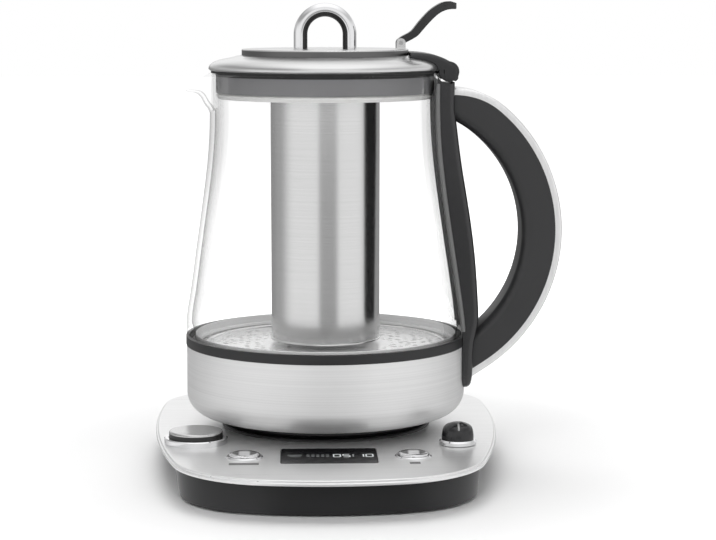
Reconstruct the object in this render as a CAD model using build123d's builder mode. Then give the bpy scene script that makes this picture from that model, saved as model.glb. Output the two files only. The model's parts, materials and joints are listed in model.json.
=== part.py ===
from build123d import *
import os
from math import atan2, cos, pi, radians, sin, sqrt

os.makedirs("parts", exist_ok=True)

# Automatic tea maker: a glass jug with a heated steel cup, a tall infuser hanging from the lid's
# collar, and a power base with a display, push buttons and a selector knob.
# Frame: origin on the jug's axis at table level, +X towards the handle, -Y towards the controls,
# +Z up, millimetres.

# ---------------------------------------------------------------- driving dimensions
# clearances
clearance = 0.3  # between curved faces that move past each other
running_fit = 0.05  # radial clearance of a pin in the bore that turns on it
seat_gap = 0.1  # between fixed pieces that only lie together

# power base: plan
base_half_width = 93.7
base_front_y = -146.5
base_back_y = 97.0
base_widest_y = 20.0
base_front_radius = 170.0
base_side_radius = 500.0
base_back_radius = 1500.0
base_front_corner = 58.0
base_back_corner = 42.0

# housing under the plate, at its foot
housing_side_inset = 11.7  # inside the base's plan at its sides
housing_end_inset = 13.5  # and at its front and back
housing_side_radius = 1000.0
housing_front_corner = 46.0
housing_back_corner = 36.0
housing_flare = 1.5  # its top edge is this much larger all round

# power base: heights, from the table up
foot_height = 1.6
foot_radius = 6.5
foot_chamfer = 0.5
foot_places = ((0.0, 0.0), (-48.0, -104.0), (48.0, -104.0), (-54.0, 68.0), (54.0, 68.0))
housing_height = 17.0
housing_wall = 2.2
rim_height = 1.7
plate_step = 1.2
plate_step_inset = 1.0
plate_thickness = 1.0
plate_edge_radius = 0.6
well_thickness = 0.8  # left of the deck under the push buttons
cover_thickness = 2.0
screw_radius = 1.5
screw_head_radius = 2.8
screw_length = 9.6
boss_radius = 4.0
screw_x = 58.0
screw_front_y = -78.0
screw_back_y = 58.0

# seat and 360 degree connector
seat_margin = 0.8  # the seat reaches this far past the jug's black underside
seat_height = 1.5
seat_neck_radius = 23.0
seat_neck_wall = 3.0
plug_radius = 13.0
plug_height = 9.0  # above the seat
plug_wall = 2.4
plug_inner_wall_radius = 7.0
plug_flange_height = 2.0
contact_thickness = 0.6
contact_height = 6.0
pin_radius = 2.0
pin_tip_radius = 1.2
pin_sleeve_radius = 5.0

# controls
start_margin = 10.4  # from the button to the widest place of the base's side
start_y = -54.0
start_radius = 14.1
start_height = 6.8  # of its rim above the plate
start_crown = -0.6  # of its middle above its rim, here a hollow
start_edge_radius = 1.2
start_travel = 1.5
start_bezel_width, start_bezel_height = 2.2, 3.2
minor_x = 43.0
minor_front = 55.5  # from the base's front back to the small buttons
minor_radius = 7.8
minor_height = 1.8
minor_crown = 1.4
minor_edge_radius = 0.6
minor_travel = 1.2
minor_bezel_width, minor_bezel_height = 1.3, 0.8
bezel_chamfer = 0.5
knob_margin = 16.0  # from the knob to the widest place of the base's side
knob_y = -62.0
knob_radius = 9.7
knob_skirt_height = 2.4
knob_skirt_chamfer = 0.8
knob_cap_radius = 8.4
knob_cap_height = 8.9
shaft_radius = 3.0
display_front = 57.5  # from the base's front back to the window's middle
display_width, display_depth = 49.0, 36.0
display_corner = 2.0
display_glass = 1.6
display_chamfer = 0.25
display_ledge = 3.0

# boards under the controls
post_height = 4.4  # of the posts that carry the boards
board_thickness = 1.6
board_side_gap = 3.8
board_front_gap = 31.0
board_neck_gap = 8.0
post_places = ((-60.0, -40.0), (60.0, -40.0), (-20.0, -104.0), (20.0, -104.0))
switch_height = 3.5
switch_size = 6.0
encoder_size = 6.8
power_neck_gap = 5.0
power_width, power_depth = 96.0, 34.0
power_post_radius, power_post_inset = 3.0, 6.0
transformer_x, transformer_width, transformer_depth = -28.0, 18.0, 15.0
relay_x, relay_width, relay_depth = 20.0, 16.0, 12.0
capacitor_x, capacitor_radius = 40.0, 5.0
power_head_room = 1.2

# strain relief of the mains inlet
inlet_hole_radius = 5.0
gland_bore_radius = 2.4
gland_tip_radius = 3.4
gland_root_radius = 4.6
gland_reach = 6.0  # out of the wall, and in behind it
gland_collar = 1.0
gland_nut_width, gland_nut_height, gland_nut_length = 13.0, 9.0, 3.0

# jug: cup, ring, floor
jug_radius = 76.0
cup_corner_radius = 12.0
cup_stand = 5.0  # the steel starts this far above the seat
cup_height = 37.9
cup_wall = 0.8
cup_lip = 7.8  # flat of the cup's bottom, outside the black cover
cover_wall = 2.0
ring_height = 5.2
ring_proud = 0.4
ring_wall = 2.0
floor_thickness = 1.0
floor_drop = 0.3  # from the cup's top edge down to the floor
gasket_width = 5.0
gasket_height = 1.6
shelf_width = 1.4
shelf_thickness = 1.2
bead_inset = 4.3  # the floor's pressed bead lies this far inside the gasket
bead_radius = 1.1
post_gap = 2.4  # between the underside's posts and the heating element
post_count = 3
element_inset = 16.0  # inside the spreader's edge
element_tube_radius = 3.6
element_turn = 320.0
spreader_inset = 5.0  # inside the bead
spreader_thickness = 3.0
sensor_radius = 9.0
sensor_height = 9.0
sensor_tab_width, sensor_tab_depth = 4.8, 0.8

# glass
glass_height = 142.1  # above the ring
glass_wall = 2.8
neck_radius = 62.4
mouth_radius = 62.6
spout_length = 13.6
spout_drop = 9.7  # the tip lies this far under the rim
spout_depth = 19.7  # the spout's root lies this far under the rim
spout_root_sink = 12.5  # and starts this far inside the neck
spout_nose_radius = 4.2
spout_plan_angle = 0.36  # of the nose's sides, in radians
spout_wall = 2.0
spout_half_width = 24.0
spout_edge_radius = 3.0

# underside of the spout: how far under the rim, and the share of the way from the neck to the tip
spout_flare = (
    (20.7, 0.000),
    (16.7, 0.174),
    (12.2, 0.370),
    (10.6, 0.551),
    (9.7, 1.000),
)

# each station: height as a share of the glass's height, radius as a share of the way
# from the neck out to the foot, and how far the rail stands off the glass there
glass_stations = (
    (0.050, 1.000, 6.3),
    (0.127, 0.904, 7.6),
    (0.322, 0.603, 9.6),
    (0.517, 0.309, 9.7),
    (0.709, 0.066, 8.6),
    (0.844, 0.000, 7.0),
)

# rail and handle
rail_half_width = 20.0
rail_top_stand = 6.6
rail_top_drop = 2.0  # below the glass's rim
rail_foot_stand = 4.0
rail_tip_stand = 2.2
rail_tip_depth = 23.4  # below the cup's top edge
rail_corner_radius = 8.0
rail_edge_radius = 3.0
handle_stand = 52.0  # from the jug's wall out to the handle's outer edge
handle_radius = 88.5
handle_centre_drop = 85.2  # below the glass rim
handle_root_drop = 7.6
handle_root_sink = 1.2  # the handle's outline starts this far inside the rail
handle_depth = 20.0  # through the handle's round part, with its steel strip
handle_inner_shift = 1.7
handle_inner_drop = 1.0
handle_half_width = 14.5
handle_upper_lead = 20.0  # the round part begins and ends this many degrees from the roots
handle_lower_lead = 7.3
handle_foot_rise = 5.0
handle_foot_turn = 11.3  # how much the lower root turns in from the round part's course
trim_thickness = 3.8
grip_edge_radius = 5.0
trim_edge_radius = 1.6

# collar and infuser
collar_gap = 0.6
collar_wall = 2.6
collar_depth = 10.4
collar_flange = 1.0
collar_rim_inset = 1.0  # from the glass's outside in to the collar's flange
web_drop = 1.2
web_thickness = 1.6
seal_height = 3.2
seal_inset = 1.2
seal_lip_drop = 1.4
slot_count = 5
slot_pitch = 6.0
slot_length = 2.6
slot_width = 3.0
infuser_radius = 29.6
infuser_wall = 0.8
infuser_clearance = 2.5  # above the steel floor
infuser_flange = 3.4
filter_hole_radius = 1.3
filter_ring_step = 7.0
filter_rings = 3
filter_ring_count = 6

# lid
lid_overhang = 0.3
lid_wall = 1.0
lid_edge_inset = 1.0  # the lid's underside is this much smaller than its rim
lid_edge_height = 0.8
dome_height = 7.4  # from the rim to the flat on top
platform_radius = 45.0
platform_height = 3.3
disc_edge_radius = 0.6
liner_thickness = 2.0
ring_tube_radius = 3.7
ring_half_width = 13.2
ring_leg_height = 7.8
stud_radius = 2.0
stud_length = 7.1
nut_radius, nut_height = 3.6, 2.4
liner_margin = 2.0
hinge_stand = 2.9  # the pin lies this far outside the lid's rim
hinge_drop = 1.0  # and this far under it
hinge_pin_radius = 1.5
knuckle_radius = 3.0
knuckle_half_width = 6.5
hood_half_width = 20.0
hood_wall = 6.0
hood_end = 5.0  # past the hinge pin
hood_reach = 6.2  # from the pin down to the hood's round underside
hood_keel_turn = 33.0  # degrees from straight down at which that roundness ends
hood_depth = 3.0  # of the hood's inner corner under the pin
hood_throat = 2.5  # and from the pin in to that corner
hood_edge_radius = 2.0
tongue_height = 1.7
arm_rise = 1.2
cradle_gap = 0.4

# thumb lever
lever_margin = 4.2  # from the lever's pin out to the edge of the lid's raised disc
lever_pin_height = 3.3  # above the lid's flat top
lever_pin_radius = 1.1
lever_hub_radius = 2.4
lever_neck_half_width = 4.4
lever_tip_half_width = 7.5
lever_length = 30.2
lever_rise = 20.1
lever_pad_thickness = 2.1
ear_thickness = 1.6
bracket_base = 0.6

# each point of the knob's cap: share of its radius, share of its height
cap_profile = ((1.0, 0.0), (0.97, 0.42), (0.82, 0.78), (0.46, 0.955), (0.0, 1.0))

# each point of the dome: share of the way in from the rim to the raised disc, share of its rise
dome_profile = ((0.103, 0.44), (0.763, 0.88))

# each point of the hood's back: share of the way out from the raised disc, share of its fall
hood_profile = ((0.0, 0.0), (0.364, 0.074), (0.655, 0.283), (0.915, 0.663), (1.0, 1.0))

# the lever's back and its underside: shares of its length and of the height of that side's end
lever_back = ((0.172, 0.271), (0.281, 0.443), (0.389, 0.616), (0.516, 0.788), (0.679, 0.936), (0.878, 1.0))
lever_belly = ((0.842, 0.988), (0.715, 0.911), (0.571, 0.714), (0.462, 0.517), (0.353, 0.304))
lever_waist = 0.45  # share of the length at which the lever begins to widen
lever_tip_chamfer = 1.0

# ---------------------------------------------------------------- levels and radii worked out
board_z = foot_height + cover_thickness + post_height
rim_bottom = foot_height + housing_height
rim_top = rim_bottom + rim_height
plate_top = rim_top + plate_step
deck_top = plate_top - plate_thickness
seat_top = plate_top + seat_height
plug_top = seat_top + plug_height
well_floor = rim_bottom + well_thickness
board_top = board_z + board_thickness
switch_top = board_top + switch_height

start_x = start_margin + start_radius - base_half_width
minor_y = base_front_y + minor_front
knob_x = base_half_width - knob_margin - knob_radius
display_y = base_front_y + display_front
housing_half_width = base_half_width - housing_side_inset
housing_back_y = base_back_y - housing_end_inset
board_half_width = housing_half_width - housing_wall - board_side_gap
board_front = base_front_y + board_front_gap
board_back = -seat_neck_radius - board_neck_gap
power_y = seat_neck_radius + power_neck_gap + power_depth / 2

cover_radius = jug_radius - cup_corner_radius - cup_lip
seat_radius = cover_radius + seat_margin
ring_radius = jug_radius + ring_proud
ring_inner = ring_radius - ring_wall
floor_radius = ring_inner - seat_gap
bead_circle_radius = floor_radius - gasket_width - bead_inset
spreader_radius = bead_circle_radius - spreader_inset
element_radius = spreader_radius - element_inset
post_circle_radius = element_radius - element_tube_radius - boss_radius - post_gap

cup_bottom = seat_top + cup_stand
cup_top = cup_bottom + cup_height
ring_top = cup_top + ring_height
floor_top = cup_top - floor_drop
glass_rim = ring_top + glass_height

collar_radius = min(neck_radius, mouth_radius) - glass_wall - collar_gap
flange_bottom = glass_rim + seat_gap * 2
flange_top = flange_bottom + collar_flange
web_top = flange_bottom - web_drop
web_bottom = web_top - web_thickness
collar_bottom = flange_bottom - collar_depth - seat_gap * 2
collar_inner = collar_radius - collar_wall

lid_bottom = flange_top + seat_gap * 2
lid_radius = mouth_radius + lid_overhang
lid_edge_radius = lid_radius - lid_edge_inset
lid_rim = lid_bottom + lid_edge_height
dome_top = lid_rim + dome_height
platform_top = dome_top + platform_height
hinge_x = lid_radius + hinge_stand
hinge_z = lid_rim - hinge_drop
lever_x = platform_radius - lever_margin
handle_x = jug_radius + handle_stand - handle_radius
handle_z = glass_rim - handle_centre_drop


# ---------------------------------------------------------------- shared outlines
def bowed_outline(half_width, front, back, radii, corners):
    """Plan with a round front, bowed sides and back, and four round corners."""
    front_radius, side_radius, back_radius = radii
    front_corner, back_corner = corners
    with BuildSketch(mode=Mode.PRIVATE) as outline:
        with Locations((0, front + front_radius)):
            Circle(front_radius)
        for side in (-1, 1):
            with Locations((side * (half_width - side_radius), base_widest_y)):
                Circle(side_radius, mode=Mode.INTERSECT)
        with Locations((0, back - back_radius)):
            Circle(back_radius, mode=Mode.INTERSECT)
        fillet(outline.vertices().group_by(Axis.Y)[-1], back_corner)
        fillet(outline.vertices().group_by(Axis.Y)[0], front_corner)
    return outline.sketch


def base_outline(inset=0.0):
    """Plan of the base, drawn inside its rim."""
    radii = (base_front_radius - inset, base_side_radius - inset, base_back_radius - inset)
    corners = (base_front_corner - inset, base_back_corner - inset)
    return bowed_outline(base_half_width - inset, base_front_y + inset, base_back_y - inset, radii, corners)


def housing_outline(inset=0.0):
    """Plan of the housing, drawn inside its foot."""
    end = housing_end_inset + inset
    radii = (base_front_radius - end, housing_side_radius - inset, base_back_radius - end)
    corners = (housing_front_corner - inset, housing_back_corner - inset)
    return bowed_outline(housing_half_width - inset, base_front_y + end, base_back_y - end, radii, corners)


def screw_places():
    """Plan places of the four screws that hold the base's bottom cover."""
    return [(x, y) for y in (screw_front_y, screw_back_y) for x in (-screw_x, screw_x)]


def glass_points(offset=0.0):
    """Points of the glass's outside between its shoulder and its rim, moved out by an offset."""
    return [(neck_radius + spread * (jug_radius - neck_radius) + offset, ring_top + share * glass_height)
            for share, spread, _ in glass_stations]


def rail_points():
    """Points of the rail's outer edge from its foot up to its top."""
    stood_off = [(x + station[2], z) for (x, z), station in zip(glass_points(), glass_stations)]
    return [(jug_radius + rail_foot_stand, cup_top), *stood_off, (neck_radius + rail_top_stand, glass_rim)]


def jug_envelope(gap):
    """Solid of revolution that holds the cup, ring and glass with a gap all round."""
    wall = jug_radius + gap
    with BuildPart() as envelope:
        with BuildSketch(Plane.XZ):
            with BuildLine():
                start = Line((0, cup_bottom - gap), (jug_radius - cup_corner_radius, cup_bottom - gap))
                corner = RadiusArc(start @ 1, (wall, cup_bottom + cup_corner_radius),
                                   -cup_corner_radius - gap)
                band = Polyline(corner @ 1, (wall, cup_top - gap), (wall + ring_proud, cup_top - gap),
                                (wall + ring_proud, ring_top + gap), (wall, ring_top + gap))
                points = glass_points(gap)
                Line(band @ 1, points[0])
                side = Spline(*points, (mouth_radius + gap, glass_rim), tangents=[(0, 1), (0, 1)],
                              tangent_scalars=[1, 1])
                Polyline(side @ 1, (mouth_radius + gap, glass_rim + gap), (0, glass_rim + gap), start @ 0)
            make_face()
        revolve(axis=Axis.Z)
    return envelope.part


def lid_outside(gap=0.0):
    """Solid under the lid's steel dome, grown by a gap."""
    width = lid_radius - platform_radius
    rim_drop = gap / 2
    rises = [(lid_radius - inward * width + gap * (1 - inward),
              lid_rim + rise * dome_height + gap * rise - rim_drop * (1 - rise))
             for inward, rise in ((0, 0), *dome_profile, (1, 1))]
    with BuildPart() as dome:
        with BuildSketch(Plane.XZ):
            with BuildLine():
                Polyline((0, dome_top + gap), (0, lid_bottom - gap),
                         (lid_edge_radius + gap, lid_bottom - gap), rises[0])
                Spline(*rises, tangents=[(0, 1), (-1, 0.1)])
                Line((platform_radius, dome_top + gap), (0, dome_top + gap))
            make_face()
        revolve(axis=Axis.Z)
    return dome.part


# ================================================================ power base
# ---- black housing: flared wall with a deck on top that carries the steel plate
foot_outline = housing_outline()
flare_outline = housing_outline(-housing_flare)
foot_inside = housing_outline(housing_wall)
flare_inside = housing_outline(housing_wall - housing_flare)
deck_outline = base_outline(plate_step_inset * 2 + clearance)
deck_thickness = deck_top - rim_bottom

with BuildPart() as base_housing:
    with BuildSketch(Plane.XY.offset(foot_height)):
        add(foot_outline)
    with BuildSketch(Plane.XY.offset(rim_bottom)):
        add(flare_outline)
    loft()
    with BuildSketch(Plane.XY.offset(rim_bottom)):
        add(deck_outline)
    extrude(amount=deck_thickness)
    with BuildSketch(Plane.XY.offset(foot_height)):
        add(foot_inside)
    with BuildSketch(Plane.XY.offset(rim_bottom)):
        add(flare_inside)
    loft(mode=Mode.SUBTRACT)
    # bosses that take the bottom cover's screws
    with BuildSketch(Plane.XY.offset(rim_bottom)):
        with Locations(*screw_places()):
            Circle(boss_radius)
    extrude(amount=-(housing_height - cover_thickness))
    # holes for the screws, the connector, the display and the controls
    with BuildSketch(Plane.XY.offset(foot_height)):
        with Locations(*screw_places()):
            Circle(screw_radius)
    extrude(amount=housing_height, mode=Mode.SUBTRACT)
    with BuildSketch(Plane.XY.offset(rim_bottom)):
        Circle(seat_neck_radius + clearance)
        with Locations((start_x, start_y), (-minor_x, minor_y), (minor_x, minor_y), (knob_x, knob_y)):
            Circle(shaft_radius + clearance)
        with Locations((0, display_y)):
            Rectangle(display_width - 2 * display_ledge, display_depth - 2 * display_ledge)
    extrude(amount=deck_thickness, mode=Mode.SUBTRACT)
    with BuildSketch(Plane.XY.offset(deck_top)):
        with Locations((0, display_y)):
            RectangleRounded(display_width + 2 * clearance, display_depth + 2 * clearance, display_corner)
    extrude(amount=plate_thickness - display_glass, mode=Mode.SUBTRACT)
    # shallow wells into which the push buttons sink
    with BuildSketch(Plane.XY.offset(well_floor)):
        with Locations((start_x, start_y)):
            Circle(start_radius + clearance)
        with Locations((-minor_x, minor_y), (minor_x, minor_y)):
            Circle(minor_radius + clearance)
    extrude(amount=deck_top - well_floor, mode=Mode.SUBTRACT)
    # opening for the mains inlet at the back
    with BuildSketch(Plane.XZ.offset(-base_back_y)):
        with Locations((0, rim_bottom / 2 + foot_height)):
            Circle(inlet_hole_radius)
    extrude(amount=2 * (housing_end_inset + housing_wall), mode=Mode.SUBTRACT)
base_housing.part.label = "base_housing"
export_step(base_housing.part, "parts/base_housing.step")

# ---- bottom cover, lying inside the housing's wall, with countersunk screw holes
with BuildPart() as base_cover:
    with BuildSketch(Plane.XY.offset(foot_height)):
        add(housing_outline(housing_wall + clearance))
    extrude(amount=cover_thickness)
    with Locations(*[Location((x, y, foot_height), (180, 0, 0)) for x, y in screw_places()]):
        CounterSinkHole(screw_radius + seat_gap, screw_head_radius, depth=cover_thickness)
base_cover.part.label = "base_cover"
export_step(base_cover.part, "parts/base_cover.step")

# ---- brushed steel plate: a raised field inside a rolled rim
with BuildPart() as base_plate:
    with BuildSketch(Plane.XY.offset(rim_bottom)):
        add(base_outline())
    extrude(amount=rim_height)
    fillet(base_plate.faces().sort_by(Axis.Z)[-1].edges(), plate_edge_radius)
    fillet(base_plate.faces().sort_by(Axis.Z)[0].edges(), plate_edge_radius)
    with BuildSketch(Plane.XY.offset(rim_top)):
        add(base_outline(plate_step_inset))
    extrude(amount=plate_step)
    fillet(base_plate.faces().sort_by(Axis.Z)[-1].edges(), plate_edge_radius)
    with BuildSketch(Plane.XY.offset(rim_bottom)):
        add(base_outline(plate_step_inset * 2))
    extrude(amount=deck_thickness, mode=Mode.SUBTRACT)
    with BuildSketch(Plane.XY.offset(deck_top)):
        Circle(seat_neck_radius + clearance)
        with Locations((start_x, start_y)):
            Circle(start_radius + clearance)
        with Locations((-minor_x, minor_y), (minor_x, minor_y)):
            Circle(minor_radius + clearance)
        with Locations((knob_x, knob_y)):
            Circle(shaft_radius + clearance)
        with Locations((0, display_y)):
            RectangleRounded(display_width + 2 * clearance, display_depth + 2 * clearance, display_corner)
    extrude(amount=plate_thickness, mode=Mode.SUBTRACT)
base_plate.part.label = "base_plate"
export_step(base_plate.part, "parts/base_plate.step")

# ---- rubber feet: four at the corners and one under the connector
with BuildPart() as rubber_feet:
    with BuildSketch():
        with Locations(*foot_places):
            Circle(foot_radius)
    extrude(amount=foot_height)
    chamfer(rubber_feet.edges().group_by(Axis.Z)[0], foot_chamfer)
rubber_feet.part.label = "rubber_feet"
export_step(rubber_feet.part, "parts/rubber_feet.step")

# ---- screws of the bottom cover, driven up into the housing's bosses
with BuildPart() as cover_screws:
    with BuildSketch(Plane.XY.offset(foot_height)):
        with Locations(*screw_places()):
            Circle(screw_radius - running_fit)
    extrude(amount=screw_length)
cover_screws.part.label = "cover_screws"
export_step(cover_screws.part, "parts/cover_screws.step")

# ---- strain relief of the mains inlet
inlet_z = rim_bottom / 2 + foot_height
inlet_wall_y = housing_back_y + housing_flare / 2
with BuildPart() as inlet_gland:
    with BuildSketch(Plane.XZ.offset(-inlet_wall_y - gland_reach)):
        with Locations((0, inlet_z)):
            Circle(gland_tip_radius)
    with BuildSketch(Plane.XZ.offset(-inlet_wall_y - gland_collar)):
        with Locations((0, inlet_z)):
            Circle(gland_root_radius)
    loft()
    with BuildSketch(Plane.XZ.offset(-inlet_wall_y - gland_collar)):
        with Locations((0, inlet_z)):
            Circle(inlet_hole_radius - clearance)
    extrude(amount=gland_collar + gland_reach)
    with BuildSketch(Plane.XZ.offset(-inlet_wall_y + gland_reach)):
        with Locations((0, inlet_z)):
            Rectangle(gland_nut_width, gland_nut_height)
    extrude(amount=gland_nut_length)
    with BuildSketch(Plane.XZ.offset(-inlet_wall_y - gland_reach)):
        with Locations((0, inlet_z)):
            Circle(gland_bore_radius)
    extrude(amount=2 * gland_reach, mode=Mode.SUBTRACT)
inlet_gland.part.label = "inlet_gland"
export_step(inlet_gland.part, "parts/inlet_gland.step")

# ---- jug seat: a black disc on the plate with a neck down through it
seat_bore = plug_radius + clearance
with BuildPart() as jug_seat:
    with BuildSketch(Plane.XY.offset(plate_top)):
        Circle(seat_radius)
    extrude(amount=seat_height)
    chamfer(jug_seat.faces().sort_by(Axis.Z)[-1].edges(), seat_height / 3)
    with BuildSketch(Plane.XY.offset(plate_top)):
        Circle(seat_neck_radius)
    extrude(amount=-(plate_top - board_top))
    with BuildSketch(Plane.XY.offset(board_top)):
        Circle(seat_neck_radius - seat_neck_wall)
    extrude(amount=plate_top - board_top, mode=Mode.SUBTRACT)
    with BuildSketch(Plane.XY.offset(plate_top)):
        Circle(seat_bore)
    extrude(amount=seat_height, mode=Mode.SUBTRACT)
jug_seat.part.label = "jug_seat"
export_step(jug_seat.part, "parts/jug_seat.step")

# ---- connector plug: two round walls about the sprung pin, open at the top
plug_outer_bore = plug_radius - plug_wall
plug_floor = board_top + plug_flange_height
plug_slot_floor = seat_top - seat_height
with BuildPart() as connector_plug:
    with BuildSketch(Plane.XZ):
        with BuildLine():
            Polyline((pin_radius + running_fit, board_top), (seat_neck_radius - seat_neck_wall - seat_gap, board_top),
                     (seat_neck_radius - seat_neck_wall - seat_gap, plug_floor), (plug_radius, plug_floor),
                     (plug_radius, plug_top), (plug_outer_bore, plug_top), (plug_outer_bore, plug_slot_floor),
                     (plug_inner_wall_radius, plug_slot_floor), (plug_inner_wall_radius, plug_top),
                     (pin_sleeve_radius, plug_top), (pin_sleeve_radius, plug_slot_floor),
                     (pin_radius + running_fit, plug_slot_floor), close=True)
        make_face()
    revolve(axis=Axis.Z)
connector_plug.part.label = "connector_plug"
export_step(connector_plug.part, "parts/connector_plug.step")

# ---- live and neutral contact rings, one on each wall of the plug
with BuildPart() as base_contacts:
    with BuildSketch(Plane.XY.offset(plug_slot_floor)):
        Circle(plug_outer_bore - running_fit)
        Circle(plug_outer_bore - contact_thickness, mode=Mode.SUBTRACT)
        Circle(plug_inner_wall_radius + contact_thickness)
        Circle(plug_inner_wall_radius + running_fit, mode=Mode.SUBTRACT)
    extrude(amount=contact_height)
base_contacts.part.label = "base_contacts"
export_step(base_contacts.part, "parts/base_contacts.step")

# ---- earth pin in the middle of the connector, on which the jug turns
with BuildPart() as earth_pin:
    with BuildSketch(Plane.XY.offset(board_top)):
        Circle(pin_radius)
    extrude(amount=plug_top - board_top)
    fillet(earth_pin.edges().group_by(Axis.Z)[-1], pin_tip_radius)
earth_pin.part.label = "earth_pin"
export_step(earth_pin.part, "parts/earth_pin.step")

# ---- display: dark window flush with the plate, and the panel behind it
with BuildPart() as display_window:
    with BuildSketch(Plane.XY.offset(plate_top - display_glass)):
        with Locations((0, display_y)):
            RectangleRounded(display_width, display_depth, display_corner)
    extrude(amount=display_glass)
    chamfer(display_window.faces().sort_by(Axis.Z)[-1].edges(), display_chamfer)
display_window.part.label = "display_window"
export_step(display_window.part, "parts/display_window.step")

with BuildPart() as display_panel:
    with BuildSketch(Plane.XY.offset(board_top)):
        with Locations((0, display_y)):
            Rectangle(display_width - 2 * display_ledge - 2 * clearance,
                      display_depth - 2 * display_ledge - 2 * clearance)
    extrude(amount=plate_top - display_glass - board_top)
display_panel.part.label = "display_panel"
export_step(display_panel.part, "parts/display_panel.step")

# ---- control board, with the switches and the selector's encoder standing on it
with BuildPart() as control_board:
    with BuildSketch(Plane.XY.offset(board_z)):
        add(housing_outline(housing_wall + clearance))
        with Locations((0, (board_front + board_back) / 2)):
            Rectangle(2 * board_half_width, board_back - board_front, mode=Mode.INTERSECT)
        with Locations(*screw_places()[:2]):
            Circle(boss_radius + clearance, mode=Mode.SUBTRACT)
    extrude(amount=board_thickness)
control_board.part.label = "control_board"
export_step(control_board.part, "parts/control_board.step")

with BuildPart() as board_posts:
    with BuildSketch(Plane.XY.offset(foot_height + cover_thickness)):
        with Locations(*post_places):
            Circle(boss_radius)
    extrude(amount=board_z - foot_height - cover_thickness)
board_posts.part.label = "board_posts"
export_step(board_posts.part, "parts/board_posts.step")

with BuildPart() as touch_switches:
    with BuildSketch(Plane.XY.offset(board_top)):
        with Locations((start_x, start_y), (-minor_x, minor_y), (minor_x, minor_y)):
            Rectangle(switch_size, switch_size)
    extrude(amount=switch_height)
touch_switches.part.label = "touch_switches"
export_step(touch_switches.part, "parts/touch_switches.step")

with BuildPart() as knob_encoder:
    with BuildSketch(Plane.XY.offset(board_top)):
        with Locations((knob_x, knob_y)):
            Rectangle(encoder_size, encoder_size)
    extrude(amount=switch_height)
knob_encoder.part.label = "knob_encoder"
export_step(knob_encoder.part, "parts/knob_encoder.step")

# ---- power board behind the connector, with its transformer and relay
with BuildPart() as power_board:
    with BuildSketch(Plane.XY.offset(board_z)):
        with Locations((0, power_y)):
            RectangleRounded(power_width, power_depth, boss_radius)
    extrude(amount=board_thickness)
    with BuildSketch(Plane.XY.offset(foot_height + cover_thickness)):
        with Locations((0, power_y)):
            with GridLocations(power_width - 2 * power_post_inset, power_depth - 2 * power_post_inset, 2, 2):
                Circle(power_post_radius)
    extrude(amount=board_z - foot_height - cover_thickness)
power_board.part.label = "power_board"
export_step(power_board.part, "parts/power_board.step")

with BuildPart() as power_parts:
    with BuildSketch(Plane.XY.offset(board_top)):
        with Locations((transformer_x, power_y)):
            Rectangle(transformer_width, transformer_depth)
        with Locations((relay_x, power_y)):
            Rectangle(relay_width, relay_depth)
        with Locations((capacitor_x, power_y)):
            Circle(capacitor_radius)
    extrude(amount=rim_bottom - board_top - power_head_room)
power_parts.part.label = "power_parts"
export_step(power_parts.part, "parts/power_parts.step")

# ---- bright bezels round the push buttons
with BuildPart() as button_bezels:
    with BuildSketch(Plane.XY.offset(plate_top)):
        with Locations((start_x, start_y)):
            Circle(start_radius + clearance + start_bezel_width)
            Circle(start_radius + clearance, mode=Mode.SUBTRACT)
    extrude(amount=start_bezel_height)
    with BuildSketch(Plane.XY.offset(plate_top)):
        with Locations((-minor_x, minor_y), (minor_x, minor_y)):
            Circle(minor_radius + clearance + minor_bezel_width)
            Circle(minor_radius + clearance, mode=Mode.SUBTRACT)
    extrude(amount=minor_bezel_height)
    for rims in button_bezels.faces().filter_by(Plane.XY).group_by(Axis.Z)[1:]:
        chamfer(rims.edges().group_by(SortBy.RADIUS)[-1], bezel_chamfer)
button_bezels.part.label = "button_bezels"
export_step(button_bezels.part, "parts/button_bezels.step")


# ---- push buttons: a disc through the plate on a plunger that stands over its switch
def push_button(x, y, radius, height, crown, edge_radius, travel):
    """Button over its switch: a disc with a rounded rim and a hollowed or domed top."""
    disc_bottom = well_floor + travel + seat_gap
    foot = switch_top + travel + clearance
    top = plate_top + height
    bowl = (radius**2 + crown**2) / (2 * crown)
    with BuildPart() as button:
        with BuildSketch(Plane((x, y, 0), x_dir=(1, 0, 0), z_dir=(0, -1, 0))):
            with BuildLine():
                Polyline((0, top + crown), (0, foot), (shaft_radius, foot), (shaft_radius, disc_bottom),
                         (radius, disc_bottom), (radius, top))
                RadiusArc((radius, top), (0, top + crown), -bowl)
            make_face()
        revolve(axis=Axis((x, y, 0), (0, 0, 1)))
        rims = button.edges().filter_by(GeomType.CIRCLE).filter_by(lambda edge: abs(edge.radius - radius) < seat_gap)
        fillet(rims.sort_by(Axis.Z)[-1], edge_radius)
    return button


start_button = push_button(start_x, start_y, start_radius, start_height, start_crown, start_edge_radius,
                           start_travel)
start_button.part.label = "start_button"
export_step(start_button.part, "parts/start_button.step")

time_button = push_button(-minor_x, minor_y, minor_radius, minor_height, minor_crown, minor_edge_radius,
                          minor_travel)
time_button.part.label = "time_button"
export_step(time_button.part, "parts/time_button.step")

heat_button = push_button(minor_x, minor_y, minor_radius, minor_height, minor_crown, minor_edge_radius,
                          minor_travel)
heat_button.part.label = "heat_button"
export_step(heat_button.part, "parts/heat_button.step")

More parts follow.
